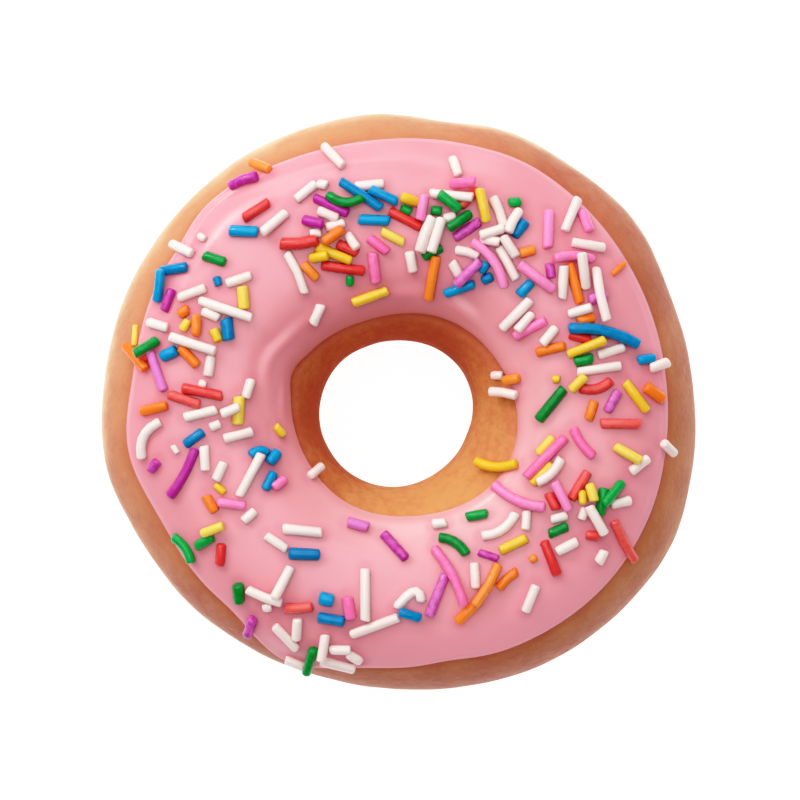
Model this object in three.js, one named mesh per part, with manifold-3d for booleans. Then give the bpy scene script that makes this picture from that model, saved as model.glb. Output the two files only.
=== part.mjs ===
// Sprinkle frosted ring doughnut: a fried dough ring, and the icing set on its upper half with its sprinkles.
// Millimetres, +Z up. The origin lies on the surface the ring rests on, under the middle of its outline.
import * as THREE from "three";
import { mergeVertices } from "three/addons/utils/BufferGeometryUtils.js";
import Module from "manifold-3d";

// ---- Driving dimensions, in mm and degrees ----

const DOUGH_HEIGHT = 29;
const WAIST_HEIGHT = 13.6; // where the ring is widest
const BASE_DROP = 14.6; // the round underside's depth below the waist, before it settles flat at z = 0
const SECTION_POWER = 0.92; // 1 is an elliptical section, less is squarer
const HOLE_CENTRE = new THREE.Vector3(-0.55, -1.85, 0);

// Each outline in the plan is a mean radius, slow lobes right round it, and local swells or dents.
// The dough's are its widest and narrowest; the icing's are where it meets the dough, under its rounded lips.
const DOUGH_RIM = {
  mean: 45.1,
  lobes: [
    { count: 1, depth: 0.67, at: -55 },
    { count: 2, depth: 0.8, at: -26 },
    { count: 3, depth: 0.61, at: -40 },
    { count: 4, depth: 0.23, at: -33 },
  ],
  swells: [
    { at: 36, width: 12, depth: 1.1 },
    { at: 81, width: 9, depth: -1.15 },
    { at: 192, width: 12, depth: 0.8 },
  ],
};
const DOUGH_HOLE = {
  mean: 11.5,
  lobes: [
    { count: 1, depth: 0.16, at: -133 },
    { count: 2, depth: 0.34, at: 31 },
    { count: 3, depth: 0.13, at: 33 },
  ],
  swells: [],
};
const ICING_RIM = {
  mean: 40.5,
  lobes: [
    { count: 1, depth: 0.57, at: -54 },
    { count: 2, depth: 0.4, at: -36 },
    { count: 4, depth: 0.46, at: -37 },
  ],
  swells: [
    { at: 62, width: 10, depth: 0.3 },
    { at: 133, width: 12, depth: 0.7 },
    { at: 145, width: 7, depth: -0.5 },
    { at: 190, width: 13, depth: 1.9 },
    { at: 232, width: 7, depth: -0.4 },
    { at: 247, width: 11, depth: 2 },
    { at: 281, width: 7, depth: -0.5 },
  ],
};
const ICING_HOLE = {
  mean: 16.1,
  lobes: [
    { count: 1, depth: 1.4, at: -28 },
    { count: 2, depth: 0.88, at: -9 },
    { count: 4, depth: 0.27, at: -25 },
  ],
  swells: [{ at: 160, width: 10, depth: 0.7 }],
};

const ICING_THICKNESS = 1.5;
const ICING_LIP = 0.14; // share of the icing's width over which each edge rounds off
const SEATING_GAP = 0.4; // between the dough and the icing's underside

const SPRINKLE_DIAMETER = 1.8;
const SPRINKLE_SIDES = 6;
const SPRINKLE_STEPS = 2;
const SPRINKLE_SINK = 0.6; // how deep a sprinkle is pressed into the icing
const LONGEST_SPRINKLE = 9.5;
const SHORTEST_SPRINKLE = 3.2;
const GREATEST_BEND = 0.14; // sideways bow of a sprinkle, as a share of its length
const DRAPE = 0.6; // how far a sprinkle's ends follow the curve of the icing: 0 straight, 1 fully
const EDGE_MARGIN = 0.09; // share of the icing's width that stays bare along each edge
const SPRINKLE_SEED = 20;
const EVEN_STEPS = { angle: 0.7548776662, share: 0.5698402909 }; // taken in turn, they fill a square evenly
const SCATTER = 0.2; // how far a sprinkle may stray from its even place

// How the sprinkles fell: one entry for each twelfth of the ring, from 0 degrees round to 360.
// near and far are a handful's first and last place across the icing: 0 at its outer edge, 1 at the hole.
const HANDFULS = [
  { count: 10, near: 0.12, far: 0.84 },
  { count: 13, near: 0.12, far: 0.82 },
  { count: 15, near: 0.22, far: 0.84 },
  { count: 13, near: 0.22, far: 0.8 },
  { count: 6, near: 0.12, far: 0.6 },
  { count: 12, near: 0.12, far: 0.62 },
  { count: 10, near: 0.12, far: 0.72 },
  { count: 7, near: 0.12, far: 0.72 },
  { count: 8, near: 0.12, far: 0.72 },
  { count: 7, near: 0.28, far: 0.82 },
  { count: 10, near: 0.22, far: 0.84 },
  { count: 12, near: 0.12, far: 0.84 },
];

const STEPS_AROUND = 60;
const DOUGH_STEPS_ACROSS = 20;
const ICING_STEPS_ACROSS = 20;

const DEGREE = Math.PI / 180;
const TURN = 2 * Math.PI;

// ---- Form of the ring ----

/** Radius of a closed outline at an angle in radians. */
function outlineRadius({ mean, lobes, swells }, angle) {
  const lobed = lobes.reduce(
    (sum, { count, depth, at }) => sum + depth * Math.cos(count * (angle - at * DEGREE)),
    mean,
  );
  return swells.reduce((sum, { at, width, depth }) => {
    const away = THREE.MathUtils.euclideanModulo(angle / DEGREE - at + 180, 360) - 180;
    return sum + depth * Math.exp(-((away / width) ** 2));
  }, lobed);
}

/** Point of an outline at an angle, in the plan. */
function outlinePoint(outline, angle, centre) {
  const radius = outlineRadius(outline, angle);
  return new THREE.Vector3(Math.cos(angle) * radius, Math.sin(angle) * radius, 0).add(centre);
}

/** The section's middle in the plan at an angle, and the vector from there to the rim. */
function spoke(angle) {
  const outer = outlinePoint(DOUGH_RIM, angle, new THREE.Vector3());
  const inner = outlinePoint(DOUGH_HOLE, angle, HOLE_CENTRE);
  return {
    middle: outer.clone().add(inner).multiplyScalar(0.5),
    reach: outer.clone().sub(inner).multiplyScalar(0.5),
  };
}

const signedPower = (value, power) => Math.sign(value) * Math.abs(value) ** power;

/** Point of the dough's skin. turn goes round its section: 0 at the rim, a quarter turn at the crown. */
function doughPoint(angle, turn) {
  const { middle, reach } = spoke(angle);
  const up = signedPower(Math.sin(turn), SECTION_POWER);
  const height = WAIST_HEIGHT + up * (up > 0 ? DOUGH_HEIGHT - WAIST_HEIGHT : BASE_DROP);
  return middle.addScaledVector(reach, signedPower(Math.cos(turn), SECTION_POWER)).setZ(Math.max(0, height));
}

/** Unit vectors at a point of the skin: round the ring, across the section from rim to hole, and outwards. */
function skinAxes(angle, turn) {
  const step = 1e-4;
  const around = doughPoint(angle + step, turn).sub(doughPoint(angle - step, turn)).normalize();
  const across = doughPoint(angle, turn + step).sub(doughPoint(angle, turn - step)).normalize();
  return { around, across, out: around.clone().cross(across).normalize() };
}

/** Point above the dough's skin by a lift, in mm. */
function liftedPoint(angle, turn, lift) {
  return doughPoint(angle, turn).addScaledVector(skinAxes(angle, turn).out, lift);
}

/** The turn at which the upper skin passes under a point of the plan. */
function turnUnder(point, angle) {
  const { middle, reach } = spoke(angle);
  const share = point.clone().sub(middle).dot(reach) / reach.lengthSq();
  return Math.acos(signedPower(THREE.MathUtils.clamp(share, -1, 1), 1 / SECTION_POWER));
}

/** The turns at which the icing starts, on the rim's side, and ends, on the hole's side. */
function icingSpan(angle) {
  return {
    start: turnUnder(outlinePoint(ICING_RIM, angle, new THREE.Vector3()), angle),
    end: turnUnder(outlinePoint(ICING_HOLE, angle, HOLE_CENTRE), angle),
  };
}

/** Height of the icing's top above the dough. share goes from 0 at its outer edge to 1 at the hole. */
function icingTop(share) {
  const inLip = Math.min(1, Math.min(share, 1 - share) / ICING_LIP);
  return SEATING_GAP + ICING_THICKNESS * Math.sqrt(1 - (1 - inLip) ** 2);
}

/** Point of the icing's top at an angle, and at a share of its width. */
function icingPoint(angle, share, lift = icingTop(share)) {
  const { start, end } = icingSpan(angle);
  return liftedPoint(angle, start + (end - start) * share, lift);
}

// ---- Solids ----

/** A closed ring surface. place puts each vertex, by its angle round the ring and its share of the loop. */
function ringGeometry(stepsAcross, place) {
  const geometry = new THREE.TorusGeometry(1, 0.5, stepsAcross, STEPS_AROUND);
  const { position, uv } = geometry.attributes;
  for (let i = 0; i < position.count; i += 1) {
    const point = place((uv.getX(i) % 1) * TURN, uv.getY(i) % 1);
    position.setXYZ(i, point.x, point.y, point.z);
  }
  return geometry;
}

const doughGeometry = () => ringGeometry(DOUGH_STEPS_ACROSS, (angle, loop) => doughPoint(angle, loop * TURN));

/** Icing skin: its top on the loop's first half, from the outer edge to the hole, then its underside. */
function icingGeometry() {
  return ringGeometry(ICING_STEPS_ACROSS, (angle, loop) => {
    const isTop = loop <= 0.5;
    const share = (1 - Math.cos(loop * TURN)) / 2;
    return icingPoint(angle, share, isTop ? icingTop(share) : SEATING_GAP);
  });
}

/** One sprinkle: a six-sided rod that lies on the icing and follows part of its curve. */
function sprinkleGeometry({ angle, share, heading, length, bend }) {
  const { start, end } = icingSpan(angle);
  const turn = start + (end - start) * share;
  const { around, across, out } = skinAxes(angle, turn);
  const along = around.clone().multiplyScalar(Math.cos(heading)).addScaledVector(across, Math.sin(heading));
  const side = out.clone().cross(along);
  const middle = icingPoint(angle, share).addScaledVector(out, SPRINKLE_DIAMETER / 2 - SPRINKLE_SINK);
  const ringCurve = (out.x * Math.cos(angle) + out.y * Math.sin(angle)) / Math.hypot(middle.x, middle.y);
  const sectionCurve = 1 / spoke(angle).reach.length();
  const curve = Math.cos(heading) ** 2 * ringCurve + Math.sin(heading) ** 2 * sectionCurve;
  const fall = (DRAPE * curve * length ** 2) / 8;
  const tip = (way) => middle.clone().addScaledVector(along, (way * length) / 2).addScaledVector(out, -fall);
  const control = middle.clone().addScaledVector(out, fall).addScaledVector(side, 2 * bend * length);
  const section = new THREE.Shape();
  section.setFromPoints(
    Array.from({ length: SPRINKLE_SIDES }, (_, i) => {
      const corner = (i / SPRINKLE_SIDES) * TURN;
      return new THREE.Vector2(Math.cos(corner), Math.sin(corner)).multiplyScalar(SPRINKLE_DIAMETER / 2);
    }),
  );
  return new THREE.ExtrudeGeometry(section, {
    steps: SPRINKLE_STEPS,
    extrudePath: new THREE.QuadraticBezierCurve3(tip(-1), control, tip(1)),
  });
}

/** Whether a sprinkle's ends stay on the icing, clear of its edges. */
function liesOnIcing({ angle, share, heading, length }) {
  const { start, end } = icingSpan(angle);
  const width = (end - start) * spoke(angle).reach.length();
  const halfReach = Math.abs(Math.sin(heading)) * (length / 2 / width);
  return share - halfReach > EDGE_MARGIN && share + halfReach < 1 - EDGE_MARGIN;
}

/** Sprinkles of every handful, longest first, each handful spread evenly over its part of the ring. */
function sprinklePlaces() {
  const random = THREE.MathUtils.seededRandom;
  const strayed = (place) => (place + random() * SCATTER) % 1;
  random(SPRINKLE_SEED);
  return HANDFULS.flatMap(({ count, near, far }, sector) =>
    Array.from({ length: count }, (_, i) => ({
      angle: ((sector + strayed(i * EVEN_STEPS.angle)) * TURN) / HANDFULS.length,
      share: THREE.MathUtils.lerp(near, far, strayed(i * EVEN_STEPS.share)),
      heading: random() * Math.PI,
      length: THREE.MathUtils.lerp(LONGEST_SPRINKLE, SHORTEST_SPRINKLE, ((i + random()) / count) ** 0.5),
      bend: (random() * 2 - 1) * GREATEST_BEND,
    })),
  ).filter(liesOnIcing);
}

// ---- Fusing ----

const wasm = await Module();
wasm.setup();

/** A closed geometry as a solid that can be joined. */
function solidOf(geometry) {
  const bare = geometry.clone();
  bare.deleteAttribute("normal");
  bare.deleteAttribute("uv");
  const merged = mergeVertices(bare, 1e-4);
  return new wasm.Manifold(
    new wasm.Mesh({
      numProp: 3,
      vertProperties: new Float32Array(merged.attributes.position.array),
      triVerts: new Uint32Array(merged.index.array),
    }),
  );
}

/** A solid's surface as a geometry. */
function geometryOf(solid) {
  const mesh = solid.getMesh();
  return new THREE.BufferGeometry()
    .setAttribute("position", new THREE.BufferAttribute(new Float32Array(mesh.vertProperties), 3))
    .setIndex(new THREE.BufferAttribute(new Uint32Array(mesh.triVerts), 1));
}

/** The icing with its sprinkles fused on, without any scrap that touches nothing. */
function frostedGeometry() {
  const fused = sprinklePlaces().reduce(
    (solid, place) => solid.add(solidOf(sprinkleGeometry(place))),
    solidOf(icingGeometry()),
  );
  const [largest] = fused.decompose().sort((a, b) => b.volume() - a.volume());
  return geometryOf(largest);
}

// ---- Doughnut ----

function namedMesh(name, geometry, look) {
  const mesh = new THREE.Mesh(geometry, new THREE.MeshStandardMaterial(look));
  mesh.name = name;
  return mesh;
}

const doughnut = new THREE.Group();
doughnut.add(
  namedMesh("dough", doughGeometry(), { color: 0xcf955f, roughness: 0.62, metalness: 0 }),
  namedMesh("icing", frostedGeometry(), { color: 0xec9fad, roughness: 0.32, metalness: 0 }),
);

export default doughnut;
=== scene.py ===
"""Sprinkle frosted ring doughnut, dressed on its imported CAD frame.

The dough ring, its icing and the sprinkles are worked out in millimetres, in the frame's axes, and put into
Blender in metres. Angles round the ring run from +X towards +Y: methods take them in radians, and fields give
them in degrees. Across the section, a turn of 0 is the rim, a quarter turn the crown and half a turn the side
of the hole.
"""

import logging
import math
from collections.abc import Iterable
from dataclasses import dataclass, field
from enum import Enum

import bpy
import numpy as np
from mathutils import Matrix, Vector
from mathutils.bvhtree import BVHTree


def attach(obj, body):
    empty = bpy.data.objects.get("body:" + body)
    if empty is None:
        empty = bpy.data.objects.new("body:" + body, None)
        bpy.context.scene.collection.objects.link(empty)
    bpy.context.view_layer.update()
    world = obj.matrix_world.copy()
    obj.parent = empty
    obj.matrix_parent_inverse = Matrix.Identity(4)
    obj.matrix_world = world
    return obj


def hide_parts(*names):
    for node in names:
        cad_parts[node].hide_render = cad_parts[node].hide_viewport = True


LOG = logging.getLogger("doughnut")
MM = 0.001
TAU = 2 * math.pi
HOLE_CENTRE = (-0.55, -1.85)

Array = np.ndarray
Colour = tuple[float, float, float]
Piece = bpy.types.Object
Socket = bpy.types.NodeSocket
Browning = tuple[tuple[float, float, float], ...]
Mesh = tuple[Array, list[list[int]]]


# ---- Shares and distances that every part uses ----


def signed_power(value: Array, power: float) -> Array:
    """A number's size raised to a power, with the number's sign."""
    return np.sign(value) * np.abs(value) ** power


def bell(distance: Array, reach: float, power: float = 2) -> Array:
    """A share that is 1 at no distance and fades over a reach: exp(-(distance / reach) ** power)."""
    return np.exp(-((distance / reach) ** power))


def ramp(value: Array, start: float, end: float) -> Array:
    """A share that goes evenly from 0 to 1 as a value goes from start to end."""
    return np.clip((value - start) / (end - start), 0, 1)


def blend(first: "Array | float", last: "Array | float", share: Array) -> Array:
    """What lies a share of the way from first to last."""
    return first + (last - first) * share


def facing(angle: Array, towards: float) -> Array:
    """A share that is 1 at an angle in degrees and 0 on the other side of the ring."""
    return 0.5 + 0.5 * np.cos(angle - math.radians(towards))


def degrees_past(angle: Array, at: float) -> Array:
    """How many degrees each angle lies past another that is given in degrees, from -180 to 180."""
    return (np.degrees(angle) - at + 180) % 360 - 180


@dataclass(frozen=True)
class Touch:
    """Something that is strongest at or beside an edge and fades away from there.

    It is amount * exp(-((distance - peak) / reach) ** power), with distances from the edge in mm.
    """

    amount: float
    reach: float
    power: float = 2
    peak: float = 0.0

    def at(self, distance: Array) -> Array:
        """How strong it is at distances from the edge."""
        return self.amount * bell(distance - self.peak, self.reach, self.power)


# ---- Form of the ring ----


@dataclass(frozen=True)
class Outline:
    """A closed outline in the plan: a mean radius, slow lobes right round it, and local swells or dents.

    Radius = mean + sum of depth * cos(count * (angle - at)) for each lobe (count, depth, at)
    + sum of depth * exp(-((angle - at) / width) ** 2) for each swell (at, width, depth), in mm and degrees.
    """

    mean: float
    lobes: tuple[tuple[int, float, float], ...]
    swells: tuple[tuple[float, float, float], ...] = ()
    centre: tuple[float, float] = (0.0, 0.0)

    def points(self, angle: Array) -> Array:
        """Points of the outline.

        Args:
            angle: angles round the ring.

        Returns:
            The points' x and y in mm, on a last axis of two.
        """
        radius = np.full_like(angle, self.mean)
        for count, depth, at in self.lobes:
            radius += depth * np.cos(count * (angle - math.radians(at)))
        for at, width, depth in self.swells:
            radius += depth * bell(degrees_past(angle, at), width)
        return np.stack((np.cos(angle), np.sin(angle)), -1) * radius[..., None] + self.centre


@dataclass(frozen=True)
class RingForm:
    """The fried ring's skin: rounded sections carried round an uneven ring, settled flat where it rests.

    At each angle the section lies between the rim's and the hole's outline. Across it the skin is
    middle + reach * cos(turn) ** power, and its height is the waist's plus the rise or drop times
    sin(turn) ** power. The last two fields are angles in degrees: the side that faces the key light, where
    painted light makes the ring palest, and the hole's back wall, which faces away from that light and is
    painted darkest as painted shade.
    """

    height: float = 29.0
    waist: float = 13.6
    base_drop: float = 14.6
    power: float = 0.92
    rim: Outline = Outline(
        45.1,
        ((1, 0.67, -55), (2, 0.8, -26), (3, 0.61, -40), (4, 0.23, -33)),
        ((36, 12, 1.1), (81, 9, -1.15), (192, 12, 0.8)),
    )
    hole: Outline = Outline(11.5, ((1, 0.16, -133), (2, 0.34, 31), (3, 0.13, 33)), (), HOLE_CENTRE)
    iced_rim: Outline = Outline(
        40.6,
        ((1, 0.57, -54), (2, 0.4, -36), (4, 0.46, -37)),
        ((62, 10, 0.3), (133, 12, 0.7), (145, 7, -0.5), (190, 13, 1.9),
         (232, 7, -0.4), (247, 11, 2), (281, 7, -0.5)),
    )
    iced_hole: Outline = Outline(
        16.1, ((1, 1.4, -28), (2, 0.88, -9), (4, 0.27, -25)), ((160, 10, 0.7),), HOLE_CENTRE
    )
    crease: float = 0.40
    crease_width: float = 0.75
    section_radius: float = 16.0
    # The side that faces the key light, from which painted light and painted shade are measured.
    key_lit_side: float = 125.0
    hole_back: float = 107.0

    def spoke(self, angle: Array) -> tuple[Array, Array]:
        """The section's middle in the plan, and the way from there to the rim."""
        outer, inner = self.rim.points(angle), self.hole.points(angle)
        return (outer + inner) / 2, (outer - inner) / 2

    def skin(self, angle: Array, turn: Array) -> Array:
        """Points of the skin.

        Args:
            angle: angles round the ring.
            turn: turns round the section.

        Returns:
            The points in mm, on a last axis of three.
        """
        middle, reach = self.spoke(angle)
        plan = middle + reach * signed_power(np.cos(turn), self.power)[..., None]
        up = signed_power(np.sin(turn), self.power)
        height = self.waist + up * np.where(up > 0, self.height - self.waist, self.base_drop)
        return np.concatenate((plan, np.maximum(height, 0)[..., None]), -1)

    def outward(self, angle: Array, turn: Array) -> Array:
        """Ways out of the skin: the way round the ring crossed with the way across its section.

        Args:
            angle: angles round the ring.
            turn: turns round the section.

        Returns:
            Vectors of length 1, on a last axis of three.
        """
        step = 1e-4
        around = self.skin(angle + step, turn) - self.skin(angle - step, turn)
        across = self.skin(angle, turn + step) - self.skin(angle, turn - step)
        out = np.cross(around, across)
        return out / np.linalg.norm(out, axis=-1, keepdims=True)

    def turn_under(self, outline: Outline, angle: Array) -> Array:
        """Where the upper skin passes under an outline.

        Args:
            outline: the outline.
            angle: angles round the ring.

        Returns:
            The turns at which it does.
        """
        middle, reach = self.spoke(angle)
        share = ((outline.points(angle) - middle) * reach).sum(-1) / (reach * reach).sum(-1)
        return np.arccos(signed_power(np.clip(share, -1, 1), 1 / self.power))

    def beyond_icing(self, angle: Array, turn: Array) -> tuple[Array, Array]:
        """How far a place on the skin is from the icing's edges: turn times the section's mean radius.

        Args:
            angle: angles round the ring.
            turn: turns round the section.

        Returns:
            Distances in mm beyond the outer edge and beyond the inner edge, negative under the icing.
        """
        from_rim = (self.turn_under(self.iced_rim, angle) - turn) * self.section_radius
        from_hole = (turn - self.turn_under(self.iced_hole, angle)) * self.section_radius
        return from_rim, from_hole

    def pressed(self, angle: Array, turn: Array) -> Array:
        """How deep in mm the icing has settled into the soft skin, in a bell across each of its edges."""
        return self.crease * sum(bell(away, self.crease_width) for away in self.beyond_icing(angle, turn))


class SoftNoise:
    """Smooth seeded noise: random values on a cubic lattice, eased between its corners, from -1 to 1."""

    def __init__(self, seed: int, cells: int = 24) -> None:
        """Draws the lattice's values."""
        self.cells = cells
        self.values = np.random.default_rng(seed).uniform(-1, 1, (cells, cells, cells))

    def at(self, points: Array, size: float) -> Array:
        """Noise at points.

        Args:
            points: places in mm, on a last axis of three.
            size: the lattice's step in mm.

        Returns:
            One value for each point.
        """
        place = points / size
        corner = np.floor(place).astype(int)
        ease = place - corner
        ease = ease * ease * (3 - 2 * ease)
        total = np.zeros(points.shape[:-1])
        for x in (0, 1):
            for y in (0, 1):
                for z in (0, 1):
                    step = np.array((x, y, z))
                    share = np.where(step == 1, ease, 1 - ease).prod(-1)
                    i, j, k = np.moveaxis((corner + step) % self.cells, -1, 0)
                    total += share * self.values[i, j, k]
        return total


# ---- Meshes ----


def ring_faces(rows: int, columns: int) -> Array:
    """Quads of a grid that closes on itself both ways, facing out of a ring swept as RingForm is.

    Args:
        rows: steps round the ring.
        columns: steps round the section.

    Returns:
        Four vertex numbers for each quad.
    """
    row, column = np.meshgrid(np.arange(rows), np.arange(columns), indexing="ij")
    next_row, next_column = (row + 1) % rows, (column + 1) % columns
    corners = (
        row * columns + column,
        next_row * columns + column,
        next_row * columns + next_column,
        row * columns + next_column,
    )
    return np.stack(corners, -1).reshape(-1, 4)


def tube_faces(rings: int, sides: int) -> list[list[int]]:
    """Quads of a tube of rings and a face over each of its ends, all facing out.

    Args:
        rings: how many rings it has along it.
        sides: how many vertices each ring has.

    Returns:
        The vertex numbers of each face.
    """
    ring, side = np.meshgrid(np.arange(rings - 1), np.arange(sides), indexing="ij")
    here, beside = ring * sides + side, ring * sides + (side + 1) % sides
    quads = np.stack((here, beside, beside + sides, here + sides), -1).reshape(-1, 4).tolist()
    return quads + [list(range(sides))[::-1], list(range((rings - 1) * sides, rings * sides))]


def build_piece(name: str, points: Array, faces: Iterable, node: str) -> Piece:
    """Makes a smooth mesh piece and ties it to the frame.

    Args:
        name: the piece's name.
        points: vertices in mm.
        faces: vertex numbers of each face.
        node: the CAD node that the piece stands for.

    Returns:
        The new object, at the origin.
    """
    mesh = bpy.data.meshes.new(name)
    mesh.from_pydata((points * MM).tolist(), [], faces)
    mesh.shade_smooth()
    mesh.update()
    piece = bpy.data.objects.new(name, mesh)
    bpy.context.scene.collection.objects.link(piece)
    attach(piece, "root")
    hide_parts(node)
    return piece


def paint(piece: Piece, name: str, values: Array) -> None:
    """Stores one number for each vertex under a name that a material can read."""
    layer = piece.data.attributes.new(name, "FLOAT", "POINT")
    layer.data.foreach_set("value", values.astype(np.float32).ravel())


def report(piece: Piece) -> None:
    """Logs a finished piece's name and face count."""
    LOG.info("%s: %d faces", piece.name, len(piece.data.polygons))


# ---- Materials ----


class Sketch:
    """Lays out one material's nodes, a call for each step of its pattern. Sizes are in mm."""

    def __init__(self, name: str) -> None:
        """Starts a material with a bare Principled shader.

        Args:
            name: the material's name.
        """
        self.material = bpy.data.materials.new(name)
        self.material.use_nodes = True
        self.nodes = self.material.node_tree.nodes
        self.links = self.material.node_tree.links
        self.shader = self.nodes["Principled BSDF"]
        self.place = self.nodes.new("ShaderNodeTexCoord").outputs["Object"]

    def set(self, **values: object) -> None:
        """Sets the shader's sockets to fixed values, or links them where a value is a node's output.

        Args:
            **values: a value for each socket, under the socket's name with _ for its spaces.
        """
        for words, value in values.items():
            socket = self.shader.inputs[words.replace("_", " ")]
            if isinstance(value, Socket):
                self.links.new(value, socket)
            elif isinstance(value, tuple) and socket.type == "RGBA":
                socket.default_value = (*value, 1.0)
            else:
                socket.default_value = value

    def noise(self, size: float, detail: float = 2.0, rough: float = 0.5) -> Socket:
        """Cloudy noise from 0 to 1.

        Args:
            size: about how wide its largest features are.
            detail: how many finer layers lie over them.
            rough: how strong each finer layer is beside the last.

        Returns:
            The noise.
        """
        node = self.nodes.new("ShaderNodeTexNoise")
        node.inputs["Scale"].default_value = 1 / (size * MM)
        node.inputs["Detail"].default_value = detail
        node.inputs["Roughness"].default_value = rough
        self.links.new(self.place, node.inputs["Vector"])
        return node.outputs["Fac"]

    def cells(self, size: float) -> Socket:
        """Distance from the nearest of many scattered points.

        Args:
            size: about how far apart they are.

        Returns:
            The distance, as a share of size.
        """
        node = self.nodes.new("ShaderNodeTexVoronoi")
        node.inputs["Scale"].default_value = 1 / (size * MM)
        self.links.new(self.place, node.inputs["Vector"])
        return node.outputs["Distance"]

    def painted(self, name: str) -> Socket:
        """The number that paint() stored on the mesh.

        Args:
            name: the name that it is stored under.

        Returns:
            The number.
        """
        node = self.nodes.new("ShaderNodeAttribute")
        node.attribute_name = name
        return node.outputs["Fac"]

    def eased(self, value: Socket, low: float, high: float, first: float = 0, last: float = 1) -> Socket:
        """A number that goes smoothly from first to last as a value goes from low to high.

        Args:
            value: the value.
            low: where the change begins.
            high: where it ends.
            first: the result up to low.
            last: the result from high on.

        Returns:
            The result.
        """
        node = self.nodes.new("ShaderNodeMapRange")
        node.interpolation_type = "SMOOTHSTEP"
        for key, number in zip(("From Min", "From Max", "To Min", "To Max"), (low, high, first, last)):
            node.inputs[key].default_value = number
        self.links.new(value, node.inputs["Value"])
        return node.outputs["Result"]

    def spread(self, noise: Socket, first: float = -0.5, last: float = 0.5) -> Socket:
        """Noise drawn out, so that it fills the range from first to last."""
        return self.eased(noise, 0.3, 0.7, first, last)

    def sum(self, first: Socket, second: Socket, share: float = 1.0) -> Socket:
        """First plus share times second.

        Args:
            first: a value.
            second: another.
            share: how much of it is added.

        Returns:
            The sum.
        """
        node = self.nodes.new("ShaderNodeMath")
        node.operation = "MULTIPLY_ADD"
        self.links.new(second, node.inputs[0])
        node.inputs[1].default_value = share
        self.links.new(first, node.inputs[2])
        return node.outputs[0]

    def product(self, first: Socket, second: Socket) -> Socket:
        """First times second.

        Args:
            first: a value.
            second: another.

        Returns:
            The product.
        """
        node = self.nodes.new("ShaderNodeMath")
        node.operation = "MULTIPLY"
        self.links.new(first, node.inputs[0])
        self.links.new(second, node.inputs[1])
        return node.outputs[0]

    def mix(self, first: "Colour | Socket", second: "Colour | Socket", share: Socket) -> Socket:
        """A blend of two colours.

        Args:
            first: the colour where share is 0.
            second: the colour where share is 1.
            share: how far the blend has gone to the second.

        Returns:
            The blend.
        """
        node = self.nodes.new("ShaderNodeMix")
        node.data_type = "RGBA"
        # A mix node has sockets for each kind of value: colours go in at 6 and 7 and come out at 2.
        for socket, colour in zip(node.inputs[6:8], (first, second)):
            if isinstance(colour, tuple):
                socket.default_value = (*colour, 1.0)
            else:
                self.links.new(colour, socket)
        self.links.new(share, node.inputs[0])
        return node.outputs[2]

    def bump(self, height: Socket, depth: float, under: "Socket | None" = None) -> Socket:
        """Fine relief for the shading.

        Args:
            height: a value from 0 to 1 that is high where the surface is.
            depth: the relief's depth.
            under: an earlier relief that this one lies on.

        Returns:
            The relief.
        """
        node = self.nodes.new("ShaderNodeBump")
        node.inputs["Strength"].default_value = 1.0
        node.inputs["Distance"].default_value = depth * MM
        self.links.new(height, node.inputs["Height"])
        if under is not None:
            self.links.new(under, node.inputs["Normal"])
        return node.outputs["Normal"]


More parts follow.
